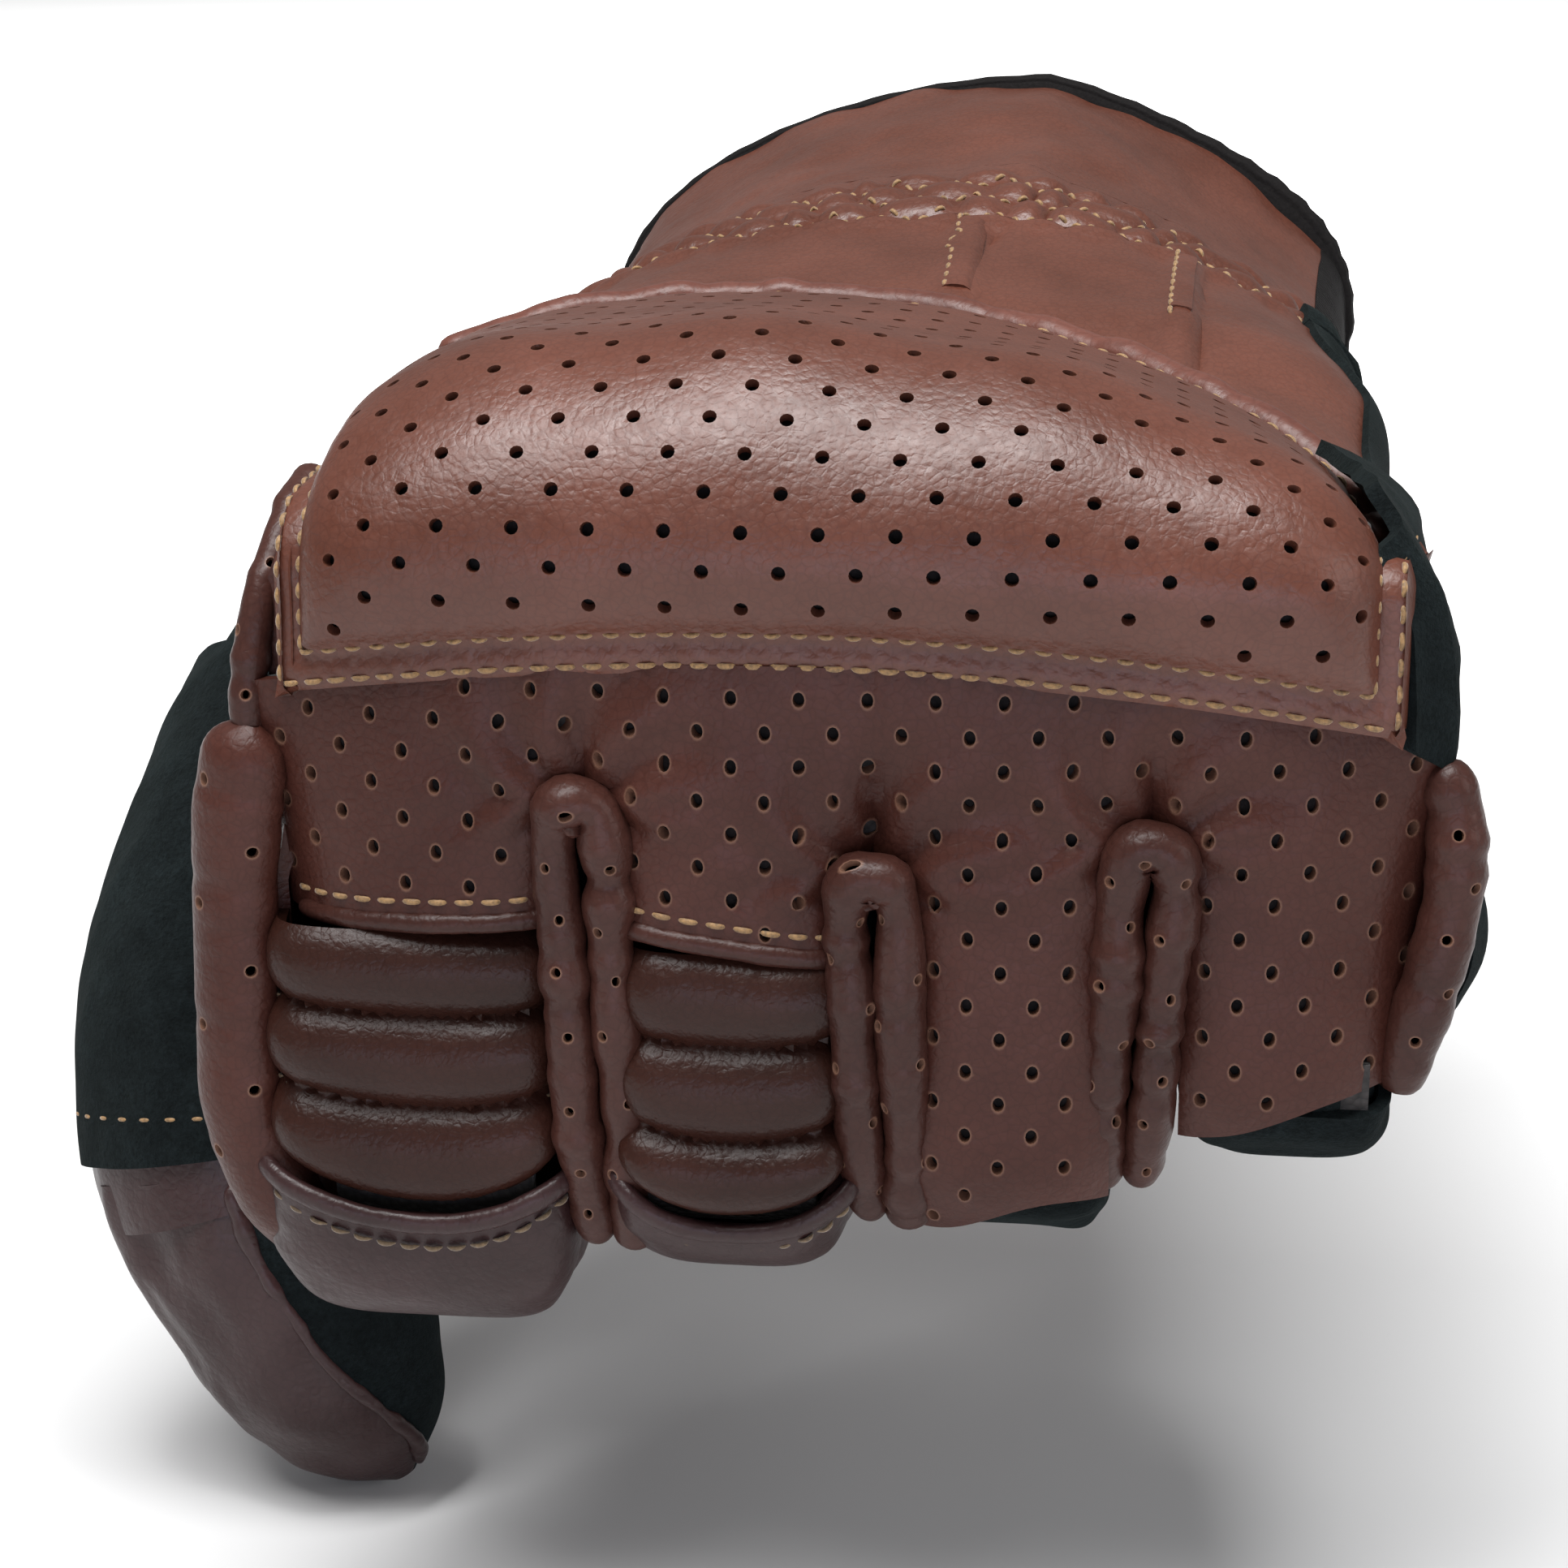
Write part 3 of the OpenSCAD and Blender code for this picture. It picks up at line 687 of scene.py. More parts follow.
def guard_lift(x, s):
    """Puff of the pad: sunken along its stitched edges, fuller over each knuckle."""
    to_edge = np.minimum(guard_end(x) - BAND - s, np.minimum(x - SIDE_LEFT - 2.2, SIDE_RIGHT - 2.2 - x) * 1.15)
    to_edge = np.minimum(to_edge, s - guard_start(x) + 1.5)
    pad = 3.1 * (1 - np.exp(-np.clip(to_edge, 0, None) / 3.4))
    pad = pad - 0.55 * np.exp(-((np.clip(to_edge, -4, None) + 0.4) / 0.8) ** 2)
    for kx, ks, size, height in KNUCKLE_SPOTS:
        pad = pad + height * np.exp(-(((x - kx) / size) ** 2 + ((s - ks) / (1.25 * size)) ** 2))
    p = stack(x, s, 0 * x)
    pad = pad + 0.35 * noise(p, 13, 3) * smooth(to_edge, 1, 8) + 0.1 * noise(p, 5, 4)
    pad = pad - 0.7 * np.exp(-np.clip(guard_end(x) - s, 0, None) / 0.4)
    gather = np.exp(-np.clip(s - guard_start(x), 0, None) / 3.2)
    pad = pad + 0.35 * gather * noise(stack(x, s * 0.25, 0 * x), 2.4, 8)
    tug = np.exp(-np.abs(to_edge) / 1.8)
    return pad + 0.16 * tug * noise(stack(x, s * 0.3, 0 * x), 1.8, 9)


def guard(x, s, extra=0.0):
    e = 0.2
    p = guard_base(x, s)
    n = np.cross(guard_base(x + e, s) - guard_base(x - e, s), guard_base(x, s + e) - guard_base(x, s - e))
    n /= np.maximum(np.linalg.norm(n, axis=1, keepdims=True), 1e-12)
    n = np.where((n @ np.array([0, -0.6, 0.8]))[:, None] < 0, -n, n)
    return p + n * (guard_lift(x, s) - 2.2 + extra)[:, None]


def from_knuckle(p):
    return p - (KNUCKLE + np.array([0, 12, -14]))


KNUCKLE_BEND = ("hand", "fingers", (0, KNUCKLE[1] + 12, KNUCKLE[2]), (0, KNUCKLE[1] - 10, KNUCKLE[2] - 14))
EDGE_LEFT, EDGE_RIGHT = -LEFT_W + 0.9, RIGHT_W - 1.1


def guard_outline():
    xs = np.linspace(EDGE_LEFT, EDGE_RIGHT, 60)
    lower = [(x, guard_end(x)) for x in xs]
    upper = [(x, guard_start(x)) for x in xs[::-1]]
    return np.array([(float(a), float(b)) for a, b in lower + upper])


def build_guard():
    outline = guard_outline()
    pad = np.array(
        [(x, guard_end(x) - BAND) for x in np.linspace(SIDE_LEFT + 2, SIDE_RIGHT - 2, 40)]
        + [(x, guard_start(x) + 0.5) for x in np.linspace(SIDE_RIGHT - 2, SIDE_LEFT + 2, 40)]
    )
    holes = punched(pad, 5.9, 2.95, 0.56, 1.9, origin=(0.5, 0.6))
    cover = cut_panel("knuckle_guard_leather", outline, guard, from_knuckle, holes, 1.0, 0.9, LEATHER,
                      KNUCKLE_BEND, ["knuckle_guard"], rims=0.1)
    foam = even_outline(outline, 2)
    inset = np.array([0.9, 0.97])
    cut_panel("guard_foam_pad", foam * inset, lambda x, s: guard(x, s, -1.5), from_knuckle, [], 2.2, 1.8,
              LINING, KNUCKLE_BEND, ["guard_foam"])
    for k, off in enumerate((BAND + 0.15, 0.75)):
        xs = np.linspace(SIDE_LEFT + (1.9 if k == 0 else 0.1), SIDE_RIGHT - (1.9 if k == 0 else 0.1), 200)
        p, n = row_on(guard, xs, guard_end(xs) - off, from_knuckle)
        stitches(f"guard_seam_stitches_{k + 1}", p, n, THREAD, KNUCKLE_BEND)
    for side, at, sign in (("left", SIDE_LEFT, 1), ("right", SIDE_RIGHT, -1)):
        for k, off in enumerate((0.1, 2.1)):
            x = at + sign * off
            ss = np.linspace(guard_end(x) - (0.8 if k == 0 else BAND), guard_start(x) + 1.5, 120)
            p, n = row_on(guard, np.full_like(ss, x), ss, from_knuckle)
            stitches(f"guard_{side}_stitches_{k + 1}", p, n, THREAD, KNUCKLE_BEND)
    xs = np.linspace(-42, 43, 160)
    edge = guard(xs, guard_start(xs) - 0.6, 0.9)
    roll("guard_piping_roll", edge, np.array([0.0, 0.3, 1.0]), 3.5, 3.2, PIPING, "hand",
         ["guard_piping"], wrinkle=0.02, seed=3)
    p, n = row_on(guard, xs, guard_start(xs) + 2.0, from_knuckle)
    stitches("guard_piping_stitches", p, n, THREAD, KNUCKLE_BEND)


# -------------------------------------------------------------- finger fronts


def nearest_finger(x):
    """The index of the finger at x, and where x lies across it, from -1 to 1."""
    middles = np.array([HAND[f].x for f in FINGERS])
    halves = np.array([HAND[f].half + 1.1 for f in FINGERS])
    t = (np.asarray(x)[:, None] - middles) / halves
    i = np.argmin(np.abs(t), axis=1)
    return i, t[np.arange(len(i)), i]


FRONT_LEFT, FRONT_RIGHT = -LEFT_W + 0.9, RIGHT_W - 0.9
FRONTS = [(FRONT_LEFT - 1, HAND["index"].front + 3.0), (HAND["index"].x, HAND["index"].front), (HAND["middle"].x, HAND["middle"].front),
          (HAND["ring"].x, HAND["ring"].front), (HAND["pinky"].x, HAND["pinky"].front), (47, -131)]
CROTCHES = (("index", "middle", -16.8), ("middle", "ring", -22.0), ("ring", "pinky", -19.3))


def front_face(x, z):
    """The perforated leather in front of the fingers, grooved between them lower down."""
    i, t = nearest_finger(x)
    groove = smooth(SEAM_Z - z, 0, 27)
    crown = (0.3 + 4.2 * groove) * np.abs(t) ** 4 + 1.4 * groove * t**2
    y = table(x, FRONTS) + crown
    joints = np.array([HAND[f].joint[2] for f in FINGERS])[i]
    depth = HAND["index"].depth
    below = np.clip(joints + 0.6 - z, 0, 0.94 * depth)
    y = y + depth - np.sqrt(depth**2 - below**2)
    p = stack(x, z, 0 * x)
    folds = np.zeros_like(x)
    for a, b, top in CROTCHES:
        cx = (HAND[a].x + HAND[a].half + HAND[b].x - HAND[b].half) / 2
        dx, dz = x - cx, z - top
        away = np.hypot(dx, dz)
        angle = np.arctan2(dx, np.abs(dz) + 2)
        ray = np.sin(angle * 9 + 1.3 * np.sin(away * 0.35)) * np.exp(-((away - 5) / 6.5) ** 2) * (dz > -3)
        folds = folds + 0.6 * ray
    y = y + folds + 0.3 * noise(p, 9, 21) + 0.12 * noise(p * [1, 0.45, 1], 2.6, 22)
    edge = np.exp(-np.clip(seam_z(x) - z, 0, None) / 1.6)
    return stack(x, y + 0.2 * edge, z)


def facing(p):
    return np.broadcast_to(np.array([0.0, -1.0, 0.0]), p.shape)


WELT_GAP = 2.7
RIB_TOP = {"index": (-26.8, -25.6), "middle": (-25.6, -28.2)}


def front_low(name, x):
    """The lower edge of the front leather on each finger."""
    f = HAND[name]
    q = (x - f.x) / f.half
    if name in RIB_TOP:
        left, right = RIB_TOP[name]
        return left + (right - left) * (q + 1) / 2 - 1.6
    if name == "ring":
        return f.joint[2] - 6.6 + 2.2 * q + 0.8 * np.sin(q * 3.4 + 0.6)
    return f.joint[2] - 4.0 + 2.6 * q + 0.5 * np.sin(q * 3)


def crotch_outline(a, b, top):
    """Down one side of a slot between two fingers and up the other is the order of the points."""
    left, right = HAND[a], HAND[b]
    middle = (left.x + left.half + right.x - right.half) / 2
    angles = np.linspace(math.pi, 0, 13)
    return [(middle + WELT_GAP * math.cos(t), top - WELT_GAP + WELT_GAP * math.sin(t)) for t in angles], middle


def front_outline():
    points = []
    xs = np.linspace(FRONT_RIGHT, FRONT_LEFT, 50)
    points += [(x, float(seam_z(x)) + 0.8) for x in xs]
    for n, name in enumerate(FINGERS):
        f = HAND[name]
        left = FRONT_LEFT if n == 0 else crotch_outline(*CROTCHES[n - 1])[1] + WELT_GAP
        right = FRONT_RIGHT if n == 3 else crotch_outline(*CROTCHES[n])[1] - WELT_GAP
        points += [(x, float(front_low(name, x))) for x in np.linspace(left, right, 16)]
        if n < 3:
            points += crotch_outline(*CROTCHES[n])[0]
    return np.array(points)


def build_fronts():
    outline = front_outline()
    holes = punched(outline, 5.3, 2.75, 0.47, 1.3, stretch=1.35, origin=(1.2, -7.9))
    # The perforated front takes the leather darkened with painted shade.
    cut_panel("finger_front_leather", outline, front_face, facing, holes, 0.95, 1.0, SHADED_FRONT_LEATHER, "fingers",
              [f + "_front" for f in FINGERS], rims=0.75)
    cut_panel("finger_front_backing", outline, lambda x, z: front_face(x, z) + np.array([0, 1.25, 0]), facing, [],
              1.6, 0.4, LINING, "fingers")
    for name, (left, right) in RIB_TOP.items():
        f = HAND[name]
        xs = np.linspace(f.x - f.half + 0.6, f.x + f.half - 0.6, 60)
        p, n = row_on(front_face, xs, front_low(name, xs) + 1.9, facing)
        stitches(f"{name}_front_stitches", p, n, THREAD, "fingers", pitch=2.2, length=1.8)
        low = front_face(xs, front_low(name, xs) + 0.1)
        roll(f"{name}_front_fold", low + np.array([0, 0.15, 0]), np.array([0.0, -1.0, 0.2]), 1.7, 1.5, ROLLED,
             "fingers", wrinkle=0.05, seed=11)


def strip_surface(path, up, width, height, wrinkle, seed):
    """An oval roll along a path: u is millimetres along it and v millimetres round it."""
    path = resample(path, 0.4)
    up = resample(np.broadcast_to(up, path.shape) if np.ndim(up) == 1 else up, 0.4)
    along, side, top = frames_along(path, np.broadcast_to(up[0], path.shape) if len(up) != len(path) else up)
    length = float(np.sum(np.linalg.norm(np.diff(path, axis=0), axis=1)))
    girth = math.pi * (width + height) / 2
    at = np.linspace(0, length, len(path))

    def surface(u, v):
        centre, across, out = (np.stack([np.interp(u, at, m[:, k]) for k in range(3)], 1)
                               for m in (path, side, top))
        angle = 2 * math.pi * v / girth
        ends = np.sqrt(np.clip(1 - np.clip(1 - np.minimum(u, length - u) / (0.5 * width), 0, 1) ** 2, 0.04, 1))
        p = stack(u, v, 0 * u + 7 * seed)
        cross = noise(p * [1, 0.16, 1], 1.35, seed) * 0.55 + noise(p * [1, 0.22, 1], 2.9, seed + 1) * 0.6
        fold = 1 + wrinkle * cross
        wide = (width / 2 * fold * ends)[:, None]
        tall = (height / 2 * fold * ends)[:, None]
        return centre + across * wide * np.sin(angle)[:, None] + out * tall * np.cos(angle)[:, None]

    return surface, length, girth


def punched_roll(name, path, up, width, height, mat, where, replaces=(), wrinkle=0.2, seed=1, spots=(), r=0.42):
    """A rolled strip with holes at (share of its length, share of half its girth)."""
    surface, length, girth = strip_surface(path, up, width, height, wrinkle, seed)
    centre_path = resample(path, 0.4)
    at = np.linspace(0, length, len(centre_path))
    outline = [(0.02, -girth / 2), (length - 0.02, -girth / 2), (length - 0.02, girth / 2), (0.02, girth / 2)]
    holes = [(a * length, b * girth / 2, r, 1.0) for a, b in spots]
    flat, faces = cut_sheet(outline, holes, 0.55)
    points = surface(flat[:, 0], flat[:, 1])
    axis = np.stack([np.interp(flat[:, 0], at, centre_path[:, k]) for k in range(3)], 1)
    faces = outward(points, faces, lambda p: p - axis)
    fade = raw_rims(flat, holes)
    points, faces = thicken(points, faces, 0.55)
    return make(name, points, faces, mat, where, replaces, np.concatenate([fade, fade]))


WELT_DRIFT = {"index": 1.7, "middle": 1.2, "ring": -1.9}
WELT_LOW = {"index": -56.8, "middle": -53.2, "ring": -50.0}
WELT_LEG, WELT_WIDE = 2.3, 4.0


def build_welts():
    """A rolled strip that runs up one side of each gap between fingers and down the other."""
    for n, (a, b, top) in enumerate(CROTCHES):
        left, right = HAND[a], HAND[b]
        middle = (left.x + left.half + right.x - right.half) / 2
        drift, low = WELT_DRIFT[a], WELT_LOW[a]
        y_top = (left.front + right.front) / 2 + 0.2

        def leg(side, share, middle=middle, drift=drift, low=low, top=top, y_top=y_top):
            z = top - 2.4 + (low - top + 2.4) * share
            pinch = WELT_LEG * (1 - 0.32 * share**2) - 0.35 * math.sin(math.pi * min(1, share * 1.6))
            return (middle + drift * share + side * pinch, y_top + 0.3 + 1.6 * share + 5.0 * share**4, z)

        shares = (1.0, 0.86, 0.66, 0.45, 0.24, 0.08)
        points = [leg(-1, t) for t in shares]
        points += [(middle - WELT_LEG * 0.7, y_top - 0.1, top - 0.9), (middle, y_top - 0.4, top),
                   (middle + WELT_LEG * 0.7, y_top - 0.1, top - 0.9)]
        points += [leg(1, t) for t in reversed(shares)]
        spots = [(0.06 + 0.063 * k + 0.012 * math.sin(5 * k + n), 0.28 * math.sin(3.1 * k + 2 * n)) for k in range(15)]
        punched_roll(f"{a}_{b}_welt_roll", spline(points, 200), np.array([0.0, -1.0, 0.0]), WELT_WIDE, 4.6, ROLLED,
                     "fingers", [f"{a}_{b}_welt"], wrinkle=0.27, seed=3 + n, spots=spots)


def build_gaps():
    """Dark strips folded over between the fingers."""
    for a, b, top in CROTCHES:
        left, right = HAND[a], HAND[b]
        middle = (left.x + left.half + right.x - right.half) / 2
        reach = 1.5
        front = max(left.front, right.front) + 2.2
        back = front + left.depth + 5.5
        low = min(left.joint[2], right.joint[2]) + 1.0

        def gap_strip(u, y, middle=middle, top=top, low=low, drift=WELT_DRIFT[a], front=front, back=back):
            straight = top - reach - low - 2
            arc = reach * math.pi
            x = np.where(u < straight, -reach, np.where(u > straight + arc, reach,
                         -reach * np.cos((u - straight) / reach)))
            z = np.where(u < straight, low + u, np.where(u > straight + arc, low + 2 * straight + arc - u,
                         top - reach - 2 + reach * np.sin((u - straight) / reach)))
            share = (top - z) / (top - low)
            pressed = 1 - 0.9 * np.sin(math.pi * np.clip((y - front) / (back - front), 0, 1)) * smooth(top - z, 1, 5)
            x = x * pressed
            wave = 0.1 * noise(stack(x * 9, y, z), 4, 77)
            return stack(middle + drift * share + x + wave, y, z)

        total = 2 * (top - reach - low - 2) + reach * math.pi
        patch(f"{a}_{b}_fourchette_strip", gap_strip, (0, total), (front, back),
              lambda p, middle=middle: p - np.array([middle, 0, -30]), 0.7, SUEDE, "fingers",
              [f"{a}_{b}_fourchette"], steps=1.0)


# ------------------------------------------------------------ ribs and tips


FRONT_ROUND = 4.2
TIP_BULGE = {"index": 4.6, "middle": 1.0}


def across_angle(q):
    """The angle round a finger, in degrees, at a share of its half width."""
    return np.degrees(np.arcsin(np.clip(power(np.clip(q, -1, 1), FRONT_ROUND / 2), -1, 1)))


SPREAD = {"index": (4.2, 0.8), "middle": (0.4, 0.9)}


def finger_tube(name, s, a, lift=0.0):
    """A whole finger as a tube: s in millimetres of outside length, 0 level with its middle joint.

    a is 0 on the outside of the bend, positive towards the little finger, in degrees."""
    f = HAND[name]
    s = np.asarray(s, float)
    a = np.radians(a)
    arc = f.depth * math.radians(72)
    turn = np.clip(s / arc, 0, 1) * math.radians(72)
    over = np.clip(s - arc, 0, None) / 38.0
    start, end = math.radians(-18), math.radians(44)
    bend = start + (end - start) * np.clip(over, 0, 1)
    r = 38.0 / (end - start)
    on_tip = s > arc
    cy = np.where(on_tip, f.joint[1] + r * (np.sin(bend) - math.sin(start)), f.joint[1])
    cz = np.where(on_tip, f.joint[2] + r * (math.cos(start) - np.cos(bend)), f.joint[2] - np.clip(s, None, 0))
    oy = np.where(on_tip, np.sin(bend), -np.cos(turn))
    oz = np.where(on_tip, -np.cos(bend), -np.sin(turn))
    close = np.where(over < 0.7, 1.0, np.sqrt(np.clip(1 - ((over - 0.7) / 0.3) ** 2, 0.0, 1)))
    w = (f.half - 0.4 - 1.6 * np.clip(over, 0, 1)) * close + lift
    bulge = TIP_BULGE.get(name, 0) * smooth(s, 1.5, arc + 2) * (1 - 0.5 * np.clip(over, 0, 1))
    out = (f.depth + bulge - 1.9 * np.clip(over, 0, 1)) * close + lift
    back = 9.0 * close + lift
    h = np.where(np.cos(a) > 0, out, back)
    squareness = np.where(np.cos(a) > 0, 2 / FRONT_ROUND, 2 / 2.6)
    side = power(np.sin(a), squareness) * w
    left, right = SPREAD.get(name, (0, 0))
    spread = np.where(side < 0, left, right) * (1 - smooth(s, arc - 6, arc + 7))
    side = side * (1 + spread / f.half)
    up = power(np.cos(a), squareness) * h
    return stack(f.x + side, cy + oy * up, cz + oz * up)


def finger_line(name, s):
    return finger_tube(name, s, np.full_like(np.asarray(s, float), 0.0)) * 1.0


def tube_away(name):
    f = HAND[name]

    def away(p):
        centre = np.stack([np.full(len(p), f.x), np.clip(p[:, 1], f.joint[1], f.joint[1] + 25),
                           np.maximum(f.joint[2], np.where(p[:, 1] > f.joint[1] + 3, -99, p[:, 2]))], 1)
        return p - centre

    return away


def middle_bend(name):
    f = HAND[name]
    j = f.joint
    return ("fingers", name + "_tip", (0, j[1] - 8, j[2] + 12), (0, j[1] + 1, j[2] - 9))


RIB_SAG = 4.0
RIBS = {"index": (21.4, 14.8, 7.7, 1.4), "middle": (17.4, 10.2, 2.9, -1.9)}


def rib_surface(name):
    """Three padded ribs across a finger, with stitched valleys; the last has a round lower edge."""
    f = HAND[name]
    tops = RIBS[name]

    def surface(x, h):
        # h is the height above the middle joint; x is across the finger
        q = (x - f.x) / f.half
        s = -h
        sag = 1.5 * (1 - q**2)
        low = tops[3] - RIB_SAG * (1 - q**2)
        edges = [tops[0] - 0.4 * q, tops[1] - sag * 0.5, tops[2] - sag, low]
        lift = np.zeros_like(x)
        for k in range(3):
            upper, lower = edges[k], edges[k + 1]
            t = np.clip((upper - h) / (upper - lower), 0, 1)
            lift = np.where((h <= upper) & (h > lower), 2.3 * (4 * t * (1 - t)) ** 0.62, lift)
        side_tuck = 1 - np.clip(np.abs(q) / 1.05, 0, 1) ** 8
        ripple = 0.035 * noise(stack(x * 1.6, h, 0 * x), 2.2, 31) + 0.16 * noise(stack(x, h, 0 * x), 6, 32)
        degrees = across_angle(q * 0.95)
        base = finger_tube(name, s, degrees)
        n = finger_tube(name, s, degrees, 0.5) - finger_tube(name, s, degrees, -0.5)
        return base + n * (-1.5 + lift * side_tuck + ripple)[:, None]

    return surface, tops


def build_ribs():
    for name in ("index", "middle"):
        f = HAND[name]
        surface, tops = rib_surface(name)
        bend = middle_bend(name)
        half = f.half + 0.55
        xs = np.linspace(-half, half, 40)
        low = [(f.x + x, tops[3] - RIB_SAG * (1 - (x / f.half) ** 2)) for x in xs]
        high = [(f.x + x, tops[0] - 0.1) for x in xs[::-1]]
        obj = cut_panel(f"{name}_rib_leather", np.array(low + high), surface, tube_away(name), [], 0.6, 1.0,
                        RIB_LEATHER, bend, [f"{name}_rib_pad"])
        for k in (1, 2):
            q = xs / f.half
            sag = 1.5 * (1 - q**2) * (0.5 if k == 1 else 1)
            p, n = row_on(surface, f.x + xs * 0.97, tops[k] - sag, tube_away(name))
            stitches(f"{name}_rib_stitches_{k}", p, n, DARK_THREAD, bend, pitch=2.0,
                     length=1.5, r=0.27, lift=0.75)
        rim_h = np.array([b - 1.1 for _, b in low])
        q = xs / f.half
        degrees = across_angle(q * 0.985)
        rim = finger_tube(name, -rim_h, degrees, 0.1)
        up = finger_tube(name, -rim_h, degrees, 1.1) - rim
        roll(f"{name}_tip_fold", rim, up.mean(0), 1.9, 1.5, DARK_LEATHER, bend, wrinkle=0.05,
             seed=41)
        line = finger_tube(name, -(rim_h - 2.1), degrees, 0.05)
        stitches(f"{name}_tip_stitches", line, up, DARK_THREAD, bend, pitch=2.0, length=1.6, r=0.24, lift=0.1)


def tip_surface(name, seed, swell):
    def surface(s, a):
        wrinkle = 0.28 * noise(stack(s * 1.3, a / 9, 0 * s), 3.4, seed) + 0.5 * noise(
            stack(s, a / 6, 0 * s), 9, seed + 1)
        return finger_tube(name, s, a, swell + wrinkle)

    return surface


def build_tips():
    for n, name in enumerate(FINGERS):
        f = HAND[name]
        arc = f.depth * math.radians(72)
        leather = name in RIBS
        mat, slot = (DARK_LEATHER, "dark_leather") if leather else (SUEDE, "suede")
        surface = tip_surface(name, 50 + n, -0.1 if leather else -1.2)
        bend = middle_bend(name)
        nu, nv = 70, 64
        t, v = np.meshgrid(np.linspace(0, 1, nu), np.linspace(-97, 97, nv), indexing="ij")
        t, v = t.ravel(), v.ravel()
        q = np.sin(np.radians(v)) ** 2
        start = -RIBS[name][3] + RIB_SAG * (1 - q) + 0.9 if leather else 5.0 + 0 * q
        points = surface(start + (arc + 37.6 - start) * t, v)
        faces = outward(points, grid_faces(nu, nv), tube_away(name))
        points, faces = thicken(points, faces, 1.1)
        make(f"{name}_tip_leather", points, faces, mat, bend, [f"{name}_tip_back"])
        patch(f"{name}_tip_suede", surface, (arc + 3, arc + 37.4), (97, 263), tube_away(name), 1.0, SUEDE,
              f"{name}_tip", [f"{name}_tip_underside"], steps=-40)


def build_plain_joints():
    """Ring and little finger: the front leather ends in a wavy edge over dark suede."""
    for name in ("ring", "pinky"):
        f = HAND[name]
        bend = middle_bend(name)

        def band(x, h, name=name, f=f):
            q = (x - f.x) / f.half
            degrees = across_angle(q * 0.97)
            return finger_tube(name, -h, degrees, -2.2 + 0.2 * noise(stack(x, h, 0 * x), 3, 61))

        half = f.half - 0.2
        xs = np.linspace(-half, half, 30)
        rel = np.array([float(front_low(name, np.array([f.x + x]))[0]) - f.joint[2] for x in xs])
        outline = [(f.x + x, r - 5.5) for x, r in zip(xs, rel, strict=True)]
        outline += [(f.x + x, r + 3.5) for x, r in zip(xs[::-1], rel[::-1], strict=True)]
        cut_panel(f"{name}_joint_suede", np.array(outline), band, tube_away(name), [], 1.0, 0.9, SUEDE,
                  bend, [f"{name}_joint_panel"])


# ------------------------------------------------------- sides, hand and cuff

HALF_W = [(KNUCKLE[1] + 10, 44.6), (-100, 45.0), (-80, 44.6), (-58, 41.5), (-36, 40.0), (0, 40.5)]
TOP = [(KNUCKLE[1] + 10, 11.0), (-100, 12.6), (-80, 14.6), (-60, 18.6), (-46, 20.5), (-30, 22.6), (0, 27.0)]
LOW = [(KNUCKLE[1] + 10, -14.5), (-84, -16), (-58, -24), (-36, -26), (0, -27)]
SHIR_FRONT, SHIR_BACK = cad_box("wrist_shirred_back")[0][1], cad_box("wrist_shirred_back")[1][1]
PUFF = 5.4
TAPES = (-56.5, -51.0, -45.5)


def hand_section(y, a, depth=0.0):
    """Hand and cuff without detail. a is 0 on the little finger's side and 90 on the back."""
    a = np.radians(a)
    t = smooth(y, -84, -26)
    p = 2 / 2.6 * (1 - t) + t
    w = table(y, HALF_W) - depth - 2.0 * (1 - t) * np.clip(np.cos(a), 0, 1)
    top, low = table(y, TOP) - depth, table(y, LOW) + depth
    upper = np.clip(np.sin(a), 0, 1)
    x = w * power(np.cos(a), p) + 7.5 * t * upper**3
    z = (top + low) / 2 + (top - low) / 2 * power(np.sin(a), p)
    z = z - 5.5 * t * np.clip(np.sin(2 * a), 0, 1) * (np.cos(a) > 0) * upper
    return stack(x, y, z)


def puffs(x, y):
    """Gathers of the shirring: rows of puffs between the elastic tapes, staggered row by row."""
    row = (y - TAPES[0]) / (TAPES[1] - TAPES[0])
    inside_rows = smooth(y, TAPES[0] - 4, TAPES[0] - 0.5) * (1 - smooth(y, TAPES[2] + 0.5, TAPES[2] + 6))
    phase = np.floor(row) * 0.5
    bend = 0.34 * noise(stack(x, y, 0 * x), 6, 90)
    across = np.abs(np.sin(math.pi * (x / PUFF + phase + bend))) ** 0.7
    between = np.abs(np.sin(math.pi * row)) ** 0.6
    gathers = np.abs(np.sin(math.pi * (x / PUFF + bend)))
    fan = np.exp(-np.abs(y - TAPES[2] - 3) / 5) + 0.7 * np.exp(-np.abs(y - TAPES[0] + 2.5) / 3.5)
    return inside_rows * 1.35 * across * between + 0.75 * fan * (1 - inside_rows * 0.8) * gathers


def tuck_lift(x, y):
    """Two raised strips that run from the shirring towards the knuckles."""
    total = np.zeros_like(x)
    on = 1 - smooth(y, SHIR_FRONT - 3.0, SHIR_FRONT + 1.0)
    for centre in (3.0, 23.5):
        total = total + 0.8 * np.exp(-(((x - centre) / 1.5) ** 4)) * on
        total = total - 0.5 * np.exp(-(((x - centre - 2.3) / 0.5) ** 2)) * on
    return total


